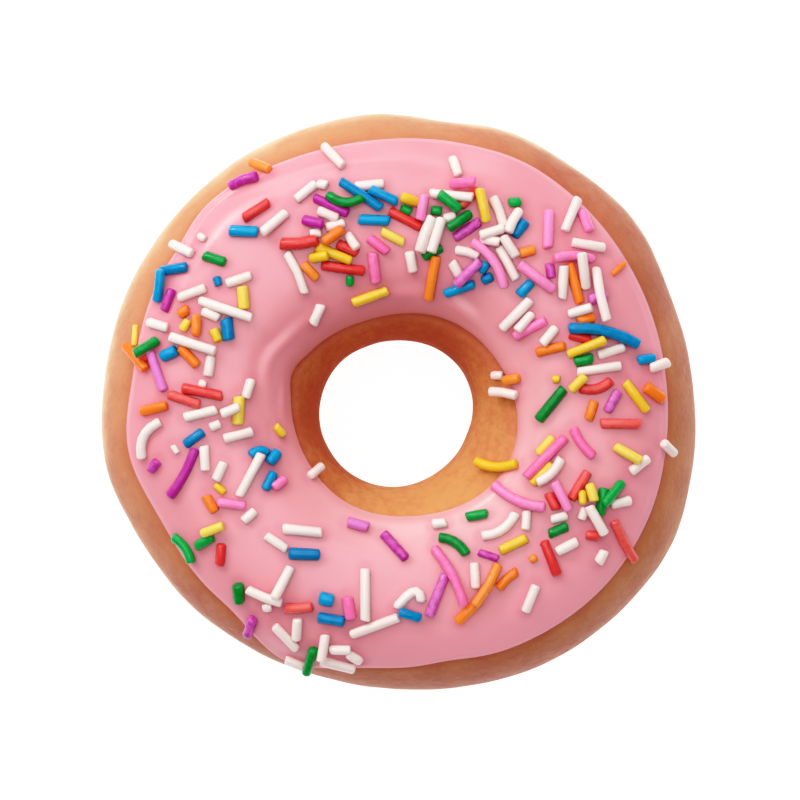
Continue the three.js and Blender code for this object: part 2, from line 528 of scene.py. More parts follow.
@dataclass(frozen=True)
class CrustFinish:
    """Fried dough skin: tan outside, golden in the hole, browner with browning and painted shade, pale at the
    waist.

    Beside the icing it is tinted a darker pink: partly pink taken up from the icing, and partly painted
    shade.
    blotch, fleck, grain, ragged, dimple and pore are the sizes in mm of its patterns. The shares are how much
    blotches and grain change its browning, and how ragged the pale band's edges are. The depths are those of
    its relief in mm.
    """

    tan: Colour = (0.61, 0.272, 0.128)
    brown: Colour = (0.41, 0.087, 0.053)
    golden: Colour = (0.66, 0.315, 0.12)
    russet: Colour = (0.52, 0.142, 0.079)
    pale: Colour = (0.80, 0.55, 0.325)
    blush_and_shade: Colour = (0.59, 0.185, 0.150)
    blotch: float = 7.0
    blotch_share: float = 0.20
    fleck: float = 1.3
    fleck_depth: float = 0.045
    grain: float = 0.5
    grain_share: float = 0.05
    grain_depth: float = 0.018
    ragged: float = 4.5
    ragged_share: float = 0.22
    dimple: float = 3.6
    dimple_depth: float = 0.24
    pore: float = 1.9
    pore_depth: float = 0.03
    roughness: tuple[float, float] = (0.42, 0.56)
    rougher_in_hole: float = 0.40
    gloss: float = 0.23

    def material(self) -> bpy.types.Material:
        """Makes the crust's material, which reads the numbers for browning, mottle, inner, pink tint and
        waist.

        Browning and the pink tint carry painted shade, and the waist carries painted light.

        Returns:
            The material.
        """
        sketch = Sketch("fried_crust")
        blotch = sketch.noise(self.blotch, detail=2, rough=0.45)
        fleck = sketch.noise(self.fleck, detail=3, rough=0.6)
        grain = sketch.noise(self.grain)
        inner = sketch.painted("inner")
        # The painted browning number also carries painted shade.
        browning_and_shade = sketch.sum(sketch.painted("browning_and_shade"), sketch.spread(blotch), self.blotch_share)
        browning_and_shade = sketch.sum(browning_and_shade, sketch.product(sketch.spread(fleck), sketch.painted("mottle")))
        browning_and_shade = sketch.eased(sketch.sum(browning_and_shade, sketch.spread(grain), self.grain_share), 0.0, 1.0)
        outside = sketch.mix(self.tan, self.brown, browning_and_shade)
        inside = sketch.mix(self.golden, self.russet, browning_and_shade)
        # The darker pink beside the icing: partly pink taken up from the icing, partly painted shade.
        crust = sketch.mix(sketch.mix(outside, inside, inner), self.blush_and_shade, sketch.painted("blush_and_shade"))
        ragged = sketch.spread(sketch.noise(self.ragged, detail=3))
        # The pale waist band also carries painted light on the side facing the key light.
        waist = sketch.eased(sketch.sum(sketch.painted("waist"), ragged, self.ragged_share), 0.10, 1.0)
        relief = sketch.bump(sketch.noise(self.dimple, detail=3, rough=0.55), self.dimple_depth)
        relief = sketch.bump(fleck, self.fleck_depth, relief)
        relief = sketch.bump(grain, self.grain_depth, relief)
        relief = sketch.bump(sketch.eased(sketch.cells(self.pore), 0.04, 0.30), self.pore_depth, relief)
        rough = sketch.eased(fleck, 0.25, 0.75, *self.roughness)
        sketch.set(
            Base_Color=sketch.mix(crust, self.pale, waist),
            Normal=relief,
            Roughness=sketch.sum(rough, inner, self.rougher_in_hole),
            Specular_IOR_Level=self.gloss,
            Subsurface_Weight=0.12,
            Subsurface_Radius=(1.0, 0.45, 0.22),
            Subsurface_Scale=0.0012,
        )
        return sketch.material


@dataclass(frozen=True)
class IcingFinish:
    """Set fondant icing: pink with a soft gloss, which is lost where its lips dried first.

    Painted shade deepens it at the outer edge and down the hole's back wall, and greys it towards the outer
    lip on the shaded side. A painted sheen makes it paler down the hole's front, which faces the key light.
    Its very edge is sheer, darkened by painted shade at the hole's back and on the shaded side. Painted light
    makes a stretch near the rim on the shaded side a fuller pink, and painted shade deepens it beside and
    between the sugar rods. cloud, ripple and grain are the sizes in mm of its patterns, and the depths are
    those of its relief.
    """

    pink: Colour = (0.82, 0.310, 0.365)
    # The colours after pink, in order: painted shade, a greyer painted shade for the lip, a painted sheen,
    # the sheer edge with painted shade, painted light, and painted shade by the sugar rods.
    shade_pink: Colour = (0.71, 0.237, 0.275)
    dull_and_shade: Colour = (0.77, 0.34, 0.42)
    pale: Colour = (0.88, 0.45, 0.46)
    sheer_and_shade: Colour = (0.68, 0.235, 0.210)
    painted_fill: Colour = (0.97, 0.375, 0.45)
    rod_shade: Colour = (0.64, 0.175, 0.245)
    cloud: float = 9.0
    cloud_share: float = 0.12
    ripple: float = 5.5
    ripple_depth: float = 0.10
    grain: float = 0.9
    grain_depth: float = 0.006
    roughness: tuple[float, float] = (0.36, 0.44)
    rougher_dry: float = 0.6
    glaze: float = 0.40

    def material(self) -> bpy.types.Material:
        """Makes the icing's material.

        It reads the numbers for painted shade, painted sheen, the sheer edge with painted shade, painted
        light, painted shade by the rods, the dull lip with painted shade, and dry.

        Returns:
            The material.
        """
        sketch = Sketch("pink_icing")
        cloud = sketch.noise(self.cloud)
        # The painted shade number, with a random cloud of tone added.
        deep_shade = sketch.sum(sketch.painted("deep_shade"), sketch.spread(cloud), self.cloud_share)
        relief = sketch.bump(sketch.noise(self.ripple, detail=1.5, rough=0.4), self.ripple_depth)
        relief = sketch.bump(sketch.noise(self.grain), self.grain_depth, relief)
        dry = sketch.painted("dry")
        # Painted shade: a greyer pink towards the outer lip on the shaded side.
        colour = sketch.mix(self.pink, self.dull_and_shade, sketch.painted("dull_and_shade"))
        # Painted shade: a deeper pink at the outer edge and down the hole's back wall.
        colour = sketch.mix(colour, self.shade_pink, sketch.eased(deep_shade, 0.0, 1.0))
        # Painted sheen down the hole's front, which faces the key light.
        colour = sketch.mix(colour, self.pale, sketch.painted("pale"))
        # Painted light: a fuller pink on the shaded lower right, where the icing gets less light.
        colour = sketch.mix(colour, self.painted_fill, sketch.painted("painted_fill"))
        # Painted shade beside and between the sugar rods.
        colour = sketch.mix(colour, self.rod_shade, sketch.painted("rod_shade"))
        # The sheer edge shows crust, and is darkened as painted shade at the hole's back and on the shaded
        # side.
        colour = sketch.mix(colour, self.sheer_and_shade, sketch.painted("sheer_and_shade"))
        sketch.set(
            Base_Color=colour,
            Normal=relief,
            Coat_Normal=relief,
            Roughness=sketch.sum(sketch.spread(cloud, *self.roughness), dry, self.rougher_dry),
            Coat_Weight=sketch.eased(dry, 0.0, 0.8, self.glaze, 0.0),
            Coat_Roughness=0.18,
            Subsurface_Weight=0.30,
            Subsurface_Radius=(1.0, 0.40, 0.42),
            Subsurface_Scale=0.0014,
        )
        return sketch.material


@dataclass(frozen=True)
class SugarFinish:
    """Pressed sugar rod with a soft shine. Rods differ a little in tone, and each is mottled lengthwise.

    mottle and grain are the sizes in mm of its patterns.
    """

    light: Colour
    full: Colour
    mottle: float = 0.9
    mottle_share: float = 0.38
    grain: float = 0.5
    grain_depth: float = 0.025
    roughness: tuple[float, float] = (0.27, 0.37)
    gloss: float = 0.25
    glaze: float = 0.30

    def material(self, name: str) -> bpy.types.Material:
        """Makes the sugar's material, which reads the number tone.

        Args:
            name: the material's name.

        Returns:
            The material.
        """
        sketch = Sketch(name)
        mottle = sketch.noise(self.mottle, detail=2, rough=0.55)
        tone = sketch.sum(sketch.painted("tone"), sketch.spread(mottle), self.mottle_share)
        sketch.set(
            Base_Color=sketch.mix(self.light, self.full, sketch.eased(tone, 0.0, 1.0)),
            Normal=sketch.bump(sketch.noise(self.grain), self.grain_depth),
            Roughness=sketch.spread(mottle, *self.roughness),
            Specular_IOR_Level=self.gloss,
            Coat_Weight=self.glaze,
            Coat_Roughness=0.10,
            Subsurface_Weight=0.12,
            Subsurface_Radius=(1.0, 0.7, 0.7),
            Subsurface_Scale=0.0005,
        )
        return sketch.material


# ---- Dough ----


@dataclass
class DoughRing:
    """The fried ring: its form with the soft unevenness of risen dough.

    One field gives the side of the ring in degrees that faces the key light; away from it the crust is
    painted darker, as painted shade. A patch of browning is its angle and spread in degrees, and how much
    browner it is at its middle. A pair of depths is the heights in mm between which painted shade in the hole
    deepens towards its foot. band_above, the darker pink beside the rim and band_lost_in_hole go from the
    ring's darker side to its lighter, and hole_mottle from the hole's back to its front.
    """

    form: RingForm = field(default_factory=RingForm)
    finish: CrustFinish = field(default_factory=CrustFinish)
    angle_steps: int = 320
    turn_steps: int = 144
    swell: float = 0.22
    swell_size: float = 11.0
    pucker: float = 0.06
    pucker_size: float = 2.6
    pucker_reach: float = 4.0
    pucker_stretch: tuple[float, float, float] = (1.0, 1.0, 0.25)
    settled: float = 2.5
    noise_seed: int = 5
    # The side that faces the key light; the crust is painted darker away from it, as painted shade.
    painted_lit_side: float = 128.0
    outer_browning: Browning = ((48, 28, 0.18), (228, 22, 0.10), (340, 40, -0.24))
    inner_browning: Browning = ((30, 40, 0.50), (170, 26, 0.14), (230, 34, 0.32), (338, 16, 0.16))
    # How much browner the side away from the key light is painted, as painted shade.
    side_shade: float = 0.74
    base_brown: float = 0.35
    # Painted shade, then painted light, in a band beside the icing's lip.
    lip_painted_shade: Touch = Touch(0.28, 1.8, 1)
    lip_painted_light: Touch = Touch(0.36, 1.1, 1)
    hole_brown: float = 0.14
    # Painted shade on the hole's back wall, from its upper to its lower depth.
    back_shade: tuple[float, float] = (0.58, 0.70)
    back_depths: tuple[float, float] = (22.0, 16.0)
    # Painted shade towards the hole's foot.
    foot_shade: float = 0.20
    foot_depths: tuple[float, float] = (20.0, 15.0)
    band_below_waist: float = 0.4
    band_wander: float = 1.3
    band_wander_size: float = 14.0
    # The pale band is lowered on the darker side and reaches higher on the lit side, as painted light and
    # shade.
    band_drop_in_shade: float = 2.2
    band_above: tuple[float, float] = (2.3, 6.0)
    band_below: float = 2.8
    band_lost_in_hole: tuple[float, float] = (0.50, 0.92)
    outer_mottle: float = 0.05
    hole_mottle: tuple[float, float] = (0.12, 0.32)
    # The darker pink beside the rim and at the hole's back, partly painted shade, strongest on the darker
    # side.
    rim_blush_and_shade: tuple[float, float] = (0.62, 0.20)
    rim_blush_reach: float = 1.3
    hole_blush_and_shade: Touch = Touch(0.45, 1.2)
    hole_radii: tuple[float, float] = (24.0, 18.0)

    def grid(self) -> tuple[Array, Array]:
        """The ring's steps.

        Returns:
            The angle and the turn of every vertex.
        """
        angle = np.arange(self.angle_steps) * TAU / self.angle_steps
        turn = np.arange(self.turn_steps) * TAU / self.turn_steps
        return np.meshgrid(angle, turn, indexing="ij")

    def relief(self, angle: Array, turn: Array, points: Array) -> Array:
        """How far the skin stands out from the ring's smooth form.

        Slow swells from coarse noise, and short upright puckers where the section is narrowest round the
        waist: noise drawn out down the side, times exp(-((height - waist) / pucker_reach) ** 2). They fade
        out over the lowest settled mm, so that nothing lifts the base.

        Args:
            angle: angles round the ring.
            turn: turns round the section.
            points: the same places, in mm.

        Returns:
            Heights in mm.
        """
        noise = SoftNoise(self.noise_seed)
        near_waist = bell(points[..., 2] - self.form.waist, self.pucker_reach)
        uneven = self.swell * noise.at(points, self.swell_size)
        uneven += self.pucker * near_waist * noise.at(points * self.pucker_stretch, self.pucker_size)
        return uneven * ramp(points[..., 2], 0, self.settled) - self.form.pressed(angle, turn)

    def browning_and_shade(self, angle: Array, turn: Array, points: Array) -> Array:
        """How brown the crust is, from 0 to 1, with painted shade counted as browning.

        Args:
            angle: angles round the ring.
            turn: turns round the section.
            points: the same places, in mm.

        Returns:
            One number for each place.
        """
        outside = self.outer_browning_and_shade(angle, turn, points[..., 2])
        inside = self.inner_browning_and_shade(angle, points[..., 2])
        return blend(outside, inside, self.inner(points))

    def outer_browning_and_shade(self, angle: Array, turn: Array, height: Array) -> Array:
        """How brown the outside is: darker on the side away from the key light, as painted shade, and browner
        down towards the base.

        Close beside the icing it is painted browner on the lighter side, as painted shade under the icing's
        lip, and lighter on the darker side, as painted light.

        Args:
            angle: angles round the ring.
            turn: turns round the section.
            height: heights in mm.

        Returns:
            One number for each place.
        """
        beyond_rim = np.maximum(self.form.beyond_icing(angle, turn)[0], 0)
        darker_side = (1 - facing(angle, self.painted_lit_side)) ** 0.6
        towards_base = ramp(height, self.form.waist, self.form.waist - self.form.base_drop)
        # Painted shade: the side turned from the key light is painted browner.
        browning_and_shade = self.side_shade * darker_side + self.patches(angle, self.outer_browning)
        browning_and_shade += self.base_brown * towards_base
        # Painted shade beside the icing's lip on the lighter side, and painted light there on the darker
        # side.
        browning_and_shade += (1 - darker_side) * self.lip_painted_shade.at(beyond_rim)
        return browning_and_shade - darker_side * self.lip_painted_light.at(beyond_rim)

    def inner_browning_and_shade(self, angle: Array, height: Array) -> Array:
        """How brown the hole is, with painted shade: darker at its back wall, which faces away from the key
        light, and darkening downwards.

        Args:
            angle: angles round the ring.
            height: heights in mm.

        Returns:
            One number for each place.
        """
        # Painted shade: the hole's back wall, turned from the key light, is painted browner, most of all low
        # down.
        back = np.clip(0.50 + 1.1 * np.cos(angle - math.radians(self.painted_lit_side)), 0, 1)
        back = back * back * (3 - 2 * back)
        browning_and_shade = self.hole_brown + self.patches(angle, self.inner_browning)
        browning_and_shade += back * blend(*self.back_shade, ramp(height, *self.back_depths))
        # Painted shade: the hole darkens towards its foot.
        return browning_and_shade + self.foot_shade * ramp(height, *self.foot_depths)

    def pale_band(self, angle: Array, points: Array) -> Array:
        """How pale the skin is, from 0 to 1, where the ring floated clear of the hot fat.

        The band wanders up and down a little below the waist. As painted shade it is lowered on the darker
        side, and as painted light it reaches higher on the side that faces the key light. In the hole it is
        faint, most of all at the back wall, which is in shade. It fades as exp(-(distance / spread) ** 2) to
        either side.

        Args:
            angle: angles round the ring.
            points: the same places, in mm.

        Returns:
            One number for each place.
        """
        key_lit_side = facing(angle, self.form.key_lit_side)
        above = points[..., 2] - self.form.waist + self.band_below_waist
        above += self.band_wander * SoftNoise(self.noise_seed + 1).at(points, self.band_wander_size)
        # Painted shade: the band is lowered on the side away from the key light.
        above += self.band_drop_in_shade * (1 - key_lit_side) ** 1.5
        # Painted light: the band reaches higher on the side that faces the key light.
        spread = np.where(above > 0, blend(*self.band_above, key_lit_side**0.6), self.band_below)
        # Painted shade: the band is mostly lost on the hole's back wall.
        browned = self.inner(points) * blend(*self.band_lost_in_hole, key_lit_side)
        return (1 - browned) * bell(above, spread)

    def blush_and_shade(self, angle: Array, turn: Array) -> Array:
        """How far the crust beside the icing is tinted a darker pink, from 0 to 1, partly as painted shade.

        It fades as exp(-(distance / reach) ** 2). As painted shade it is stronger on the outside's darker
        side and at the hole's back wall, which is in shade, and weaker on the lighter side and in the front
        of the hole.

        Args:
            angle: angles round the ring.
            turn: turns round the section.

        Returns:
            One number for each place.
        """
        beyond_rim, beyond_hole = self.form.beyond_icing(angle, turn)
        rim_blush_and_shade = blend(*self.rim_blush_and_shade, facing(angle, self.form.key_lit_side))
        rim_blush_and_shade *= bell(beyond_rim, self.rim_blush_reach)
        return rim_blush_and_shade + facing(angle, self.form.hole_back) * self.hole_blush_and_shade.at(beyond_hole)

    def mottle(self, angle: Array, points: Array) -> Array:
        """How strongly the crust is mottled: most in the front of the hole, and hardly outside."""
        front_of_hole = 1 - facing(angle, self.form.hole_back)
        return self.outer_mottle + self.inner(points) * blend(*self.hole_mottle, front_of_hole)

    def inner(self, points: Array) -> Array:
        """How far inside the hole a place is: 0 beyond the first of hole_radii, and 1 within the second."""
        return ramp(np.linalg.norm(points[..., :2] - HOLE_CENTRE, axis=-1), *self.hole_radii)

    @staticmethod
    def patches(angle: Array, browning: Browning) -> Array:
        """Browning that soft patches round the ring add, as the sum of their bells."""
        return sum(amount * bell(degrees_past(angle, at), spread) for at, spread, amount in browning)

    def build(self) -> tuple[Piece, Array, Array]:
        """Makes the ring.

        Returns:
            The piece, and its vertices in mm and its faces, for what lies on it.
        """
        angle, turn = self.grid()
        points = self.form.skin(angle, turn)
        points = points + self.form.outward(angle, turn) * self.relief(angle, turn, points)[..., None]
        points[..., 2] = np.maximum(points[..., 2], 0)
        faces = ring_faces(self.angle_steps, self.turn_steps)
        flat = points.reshape(-1, 3)
        piece = build_piece("dough_ring", flat, faces.tolist(), "dough")
        # The pale waist band, with painted light on the side facing the key light.
        paint(piece, "waist", self.pale_band(angle, points))
        # Browning, with painted shade.
        paint(piece, "browning_and_shade", self.browning_and_shade(angle, turn, points))
        paint(piece, "mottle", self.mottle(angle, points))
        paint(piece, "inner", self.inner(points))
        # Darker pink beside the icing, partly painted shade.
        paint(piece, "blush_and_shade", self.blush_and_shade(angle, turn))
        piece.data.materials.append(self.finish.material())
        report(piece)
        return piece, flat, faces


# ---- Icing ----


class Edge(Enum):
    """The icing's two edges."""

    RIM = 0
    HOLE = 1


@dataclass(frozen=True)
class Fold:
    """A soft ridge in the icing, alongside one of its edges.

    It is highest at an angle, and inset mm from the edge there. slant is how far it has moved away from the
    edge one spread further round.
    """

    edge: Edge
    at: float
    spread: float
    inset: float
    width: float
    height: float
    slant: float = 0.0

    def rise(self, angle: Array, from_edges: tuple[Array, Array]) -> Array:
        """Height of the ridge: a bell across times a bell along, with a shallow dip on its far side.

        Args:
            angle: angles round the ring.
            from_edges: distances in mm along the icing from its outer and its inner edge.

        Returns:
            Heights in mm.
        """
        along = degrees_past(angle, self.at) / self.spread
        across = (from_edges[self.edge.value] - self.inset - self.slant * along) / self.width
        return self.height * bell(along, 1) * (bell(across, 1) - 0.5 * bell(across - 1.6, 1))


@dataclass
class Icing:
    """The icing that set on the ring's upper half, with rounded lips and a few soft folds.

    outer_lip and inner_lip are the lips' widths in mm. inner_lip and inner_softness go from the hole's front
    to its back. lip_line, lip_dip and bead are heights beside the outer edge. hole_front, bead_side and the
    side of the painted fill light are sides of the ring in degrees. Each further Touch is named for the look
    that it paints, painted light and shade among them, and the edge that it is painted from.
    """

    form: RingForm = field(default_factory=RingForm)
    finish: IcingFinish = field(default_factory=IcingFinish)
    thickness: float = 1.6
    seat: float = -0.2
    angle_steps: int = 440
    steps: tuple[int, int, int] = (48, 80, 26)
    under_steps: int = 24
    lip_share: float = 0.14
    hole_front: float = 302.0
    outer_lip: float = 1.9
    outer_softness: float = 0.55
    inner_lip: tuple[float, float] = (2.6, 4.8)
    inner_softness: tuple[float, float] = (0.5, 0.95)
    lip_line: Touch = Touch(0.035, 0.42, peak=1.9)
    lip_dip: Touch = Touch(-0.021, 1.1, peak=3.6)
    line_uneven: float = 0.5
    line_uneven_size: float = 9.0
    bead: Touch = Touch(0.16, 2.4, peak=5.2)
    bead_side: float = 215.0
    bead_change: tuple[float, float] = (0.6, 1.4)
    uneven: float = 0.12
    uneven_size: float = 8.0
    noise_seed: int = 9
    # Painted light: a fuller pink near the rim on the shaded lower right.
    painted_fill_rim: Touch = Touch(0.9, 4.5, peak=4.5)
    painted_fill_side: float = -62.0
    painted_fill_spread: float = 32.0
    # Painted shade at the outer edge and down the hole's back wall.
    deep_shade_rim: Touch = Touch(0.80, 0.9)
    deep_shade_hole: Touch = Touch(0.82, 9.8, 3)
    # Painted sheen down the hole's front, which faces the key light.
    sheen_hole: Touch = Touch(0.8, 7.5, 3)
    # Sheer edge showing crust, darkened as painted shade at the hole's back and on the shaded side.
    sheer_and_shade_hole: Touch = Touch(0.85, 1.5)
    sheer_and_shade_rim: Touch = Touch(0.65, 0.7)
    # Painted shade: greyer pink towards the outer lip on the shaded side; it also dulls the gloss there.
    dull_and_shade_rim: Touch = Touch(0.7, 3.1)
    dry_rim: Touch = Touch(1.0, 2.2)
    dry_rim_change: tuple[float, float] = (0.2, 1.0)
    dry_hole: Touch = Touch(1.0, 2.6)
    folds: tuple[Fold, ...] = (
        Fold(Edge.HOLE, 153, 21, 5.6, 0.95, 0.27, -0.3),
        Fold(Edge.HOLE, 176, 9, 2.9, 0.6, 0.14, 0.3),
        Fold(Edge.HOLE, 196, 14, 4.6, 0.8, 0.14, 0.4),
        Fold(Edge.HOLE, 57, 10, 4.2, 1.0, 0.36, 0.9),
        Fold(Edge.HOLE, 86, 12, 5.2, 1.0, 0.16, 0.3),
        Fold(Edge.HOLE, 352, 10, 4.3, 1.0, 0.16, 0.6),
        Fold(Edge.HOLE, 300, 16, 4.9, 1.1, 0.12, 0.4),
        Fold(Edge.RIM, 134, 12, 1.9, 0.60, 0.24, 0.0),
        Fold(Edge.RIM, 113, 19, 3.7, 0.80, 0.13, -0.8),
        Fold(Edge.RIM, 20, 30, 2.0, 0.45, 0.16, 0.2),
    )

    def shares(self) -> Array:
        """Places across the top, from 0 at the outer edge to 1 at the hole, closest together over the lips.

        Returns:
            The places.
        """
        outer, body, inner = self.steps
        lip = self.lip_share
        first = lip * (1 - np.cos(np.linspace(0, math.pi / 2, outer, endpoint=False)))
        last = 1 - lip * (1 - np.cos(np.linspace(math.pi / 2, 0, inner)))
        return np.concatenate((first, np.linspace(lip, 1 - lip, body, endpoint=False), last))

    def back_of_hole(self, angle: Array) -> Array:
        """A share that is 1 at the back of the hole, the wall in shade away from the key light, and 0 at its
        front.
        """
        return facing(angle, self.form.hole_back) ** 1.2

    @staticmethod
    def rounding(share: Array, softness: "Array | float") -> Array:
        """How full a lip is, a share of the way over it: (1 - (1 - share) ** 2) ** softness."""
        return (1 - (1 - np.minimum(1, share)) ** 2) ** softness

    def lift(self, angle: Array, from_edges: tuple[Array, Array], points: Array) -> Array:
        """Height of the icing's top above the dough's smooth form.

        The body's thickness, times the rounding of each lip, which is close to a quarter ellipse, but longer
        and softer at the hole's back. The body has slow unevenness, a fine line and a dip where the outer lip
        turns over, a broad bead inside them where icing gathers before it sets, and the folds.

        Args:
            angle: angles round the ring.
            from_edges: distances in mm along the icing from its outer and its inner edge.
            points: the same places on the dough, in mm.

        Returns:
            Heights in mm.
        """
        from_rim, from_hole = from_edges
        back_of_hole = self.back_of_hole(angle)
        outer = self.rounding(from_rim / self.outer_lip, self.outer_softness)
        softness = blend(*self.inner_softness, back_of_hole)
        inner = self.rounding(from_hole / blend(*self.inner_lip, back_of_hole), softness)
        uneven = self.uneven * SoftNoise(self.noise_seed).at(points, self.uneven_size)
        line_change = 1 + self.line_uneven * SoftNoise(self.noise_seed + 1).at(points, self.line_uneven_size)
        line = (self.lip_line.at(from_rim) + self.lip_dip.at(from_rim)) * line_change
        bead = blend(*self.bead_change, facing(angle, self.bead_side)) * self.bead.at(from_rim)
        folds = sum(fold.rise(angle, from_edges) for fold in self.folds)
        body = self.thickness - self.seat + uneven + line + bead + folds
        return self.seat + np.minimum(outer, inner) * body

    def looks(self, angle: Array, from_edges: tuple[Array, Array]) -> dict[str, Array]:
        """How the icing's look changes over its top, as painted numbers from 0 to 1.

        The first number is painted shade, which deepens its colour at the outer edge and down into the hole's
        back wall. pale is a painted sheen, which lightens it down the hole's front, where it faces the key
        light. The sheer edge all but bares the very edge, darkened as painted shade at the hole's back and on
        the shaded side. Painted light brightens a stretch of it near the rim on the shaded side. Painted
        shade greys it towards the outer lip on the shaded side, and that number also dulls the gloss there.
        dry takes the gloss off both lips.

        Args:
            angle: angles round the ring.
            from_edges: distances in mm along the icing from its outer and its inner edge.

        Returns:
            The numbers for each place, by name.
        """
        from_rim, from_hole = from_edges
        back_of_hole = self.back_of_hole(angle)
        front_of_hole = facing(angle, self.hole_front) ** 1.5
        shaded_side = 1 - facing(angle, self.form.key_lit_side)
        # Painted light on the shaded lower right.
        in_painted_fill = bell(degrees_past(angle, self.painted_fill_side), self.painted_fill_spread)
        # Painted shade towards the outer lip on the shaded side, which also dulls the gloss.
        dull_and_shade = shaded_side * self.dull_and_shade_rim.at(from_rim)
        dry_rim = blend(*self.dry_rim_change, shaded_side) * self.dry_rim.at(from_rim)
        dry_hole = back_of_hole**0.5 * self.dry_hole.at(from_hole)
        # Sheer edge, with painted shade at the hole's back and on the shaded side.
        sheer_and_shade_hole = back_of_hole * self.sheer_and_shade_hole.at(from_hole)
        sheer_and_shade_rim = shaded_side * self.sheer_and_shade_rim.at(from_rim)
        return {
            # Painted shade at the outer edge and down the hole's back wall.
            "deep_shade": np.clip(self.deep_shade_rim.at(from_rim) + back_of_hole * self.deep_shade_hole.at(from_hole), 0, 1),
            # Painted sheen where the hole's front faces the key light.
            "pale": front_of_hole * self.sheen_hole.at(from_hole),
            # Sheer edge, with painted shade at the hole's back and on the shaded side.
            "sheer_and_shade": np.maximum(sheer_and_shade_hole, sheer_and_shade_rim),
            # Painted light on the shaded lower right.
            "painted_fill": in_painted_fill * self.painted_fill_rim.at(from_rim),
            # Painted shade towards the outer lip on the shaded side.
            "dull_and_shade": dull_and_shade,
            "dry": np.maximum(dull_and_shade, np.maximum(dry_rim, dry_hole)),
        }

    def build(self) -> tuple[Piece, Array, Array]:
        """Makes the icing as one closed skin: its top from the outer edge to the hole, then its underside.

        Returns:
            The piece, and its vertices in mm and its faces, for what lies on it.
        """
        top = self.shares()
        share = np.concatenate((top, np.linspace(1, 0, self.under_steps + 2)[1:-1]))
        angle = np.arange(self.angle_steps) * TAU / self.angle_steps
        angle, share = np.meshgrid(angle, share, indexing="ij")
        start = self.form.turn_under(self.form.iced_rim, angle)
        end = self.form.turn_under(self.form.iced_hole, angle)
        turn = start + (end - start) * share
        seat = self.form.skin(angle, turn)
        step = np.linalg.norm(np.diff(seat[:, : len(top)], axis=1), axis=-1)
        from_rim = np.pad(np.cumsum(step, axis=1), ((0, 0), (1, 0)))
        from_edges = (from_rim, from_rim[:, -1:] - from_rim)
        underneath = ((0, 0), (0, self.under_steps))
        lift = self.lift(angle[:, : len(top)], from_edges, seat[:, : len(top)])
        lift = np.pad(lift, underneath, constant_values=self.seat) - self.form.pressed(angle, turn)
        points = seat + self.form.outward(angle, turn) * lift[..., None]
        faces = ring_faces(*share.shape)
        flat = points.reshape(-1, 3)
        piece = build_piece("pink_icing", flat, faces.tolist(), "icing")
        for name, look in self.looks(angle[:, : len(top)], from_edges).items():
            paint(piece, name, np.pad(look, underneath, mode="edge"))
        piece.data.materials.append(self.finish.material())
        report(piece)
        return piece, flat, faces


# ---- Sprinkles ----


class Sugar(Enum):
    """The colours of sprinkle, each with its finish."""

    WHITE = SugarFinish((0.92, 0.78, 0.735), (0.88, 0.715, 0.68))
    PINK = SugarFinish((0.99, 0.28, 0.56), (0.99, 0.16, 0.4))
    RED = SugarFinish((0.83, 0.13, 0.12), (0.72, 0.055, 0.055))
    ORANGE = SugarFinish((0.95, 0.3, 0.065), (0.93, 0.2, 0.03))
    YELLOW = SugarFinish((0.87, 0.64, 0.12), (0.86, 0.52, 0.045))
    GREEN = SugarFinish((0.012, 0.37, 0.08), (0.002, 0.20, 0.035))
    BLUE = SugarFinish((0.002, 0.32, 0.63), (0.001, 0.18, 0.43))
    PURPLE = SugarFinish((0.76, 0.21, 0.57), (0.48, 0.042, 0.325))


@dataclass(frozen=True)
class Rod:
    """One sprinkle as it is seen from straight above: its ends in mm, and how it bends.

    bow moves its middle to the left of the way from first end to last, and skew moves the bend along it.
    tier is 0 where it lies on the ring, and 1 or 2 where it lies across rods of a lower tier.
    """

    x0: float
    y0: float
    x1: float
    y1: float
    bow: float = 0.0
    tier: int = 0
    thick: float = 1.55
    skew: float = 0.0

    @property
    def span(self) -> float:
        """How far apart its ends are, in mm."""
        return math.hypot(self.x1 - self.x0, self.y1 - self.y0)

    def plan(self, share: Array) -> Array:
        """Points of its middle line in the plan: a curve of second degree through both ends.

        Args:
            share: places along it, from 0 to 1.

        Returns:
            The points' x and y in mm, on a last axis of two.
        """
        first, last = np.array((self.x0, self.y0)), np.array((self.x1, self.y1))
        way = (last - first) / self.span
        bend = (first + last) / 2 + 2 * self.bow * np.array((-way[1], way[0])) + self.skew * way
        share = share[:, None]
        return (1 - share) ** 2 * first + 2 * share * (1 - share) * bend + share**2 * last


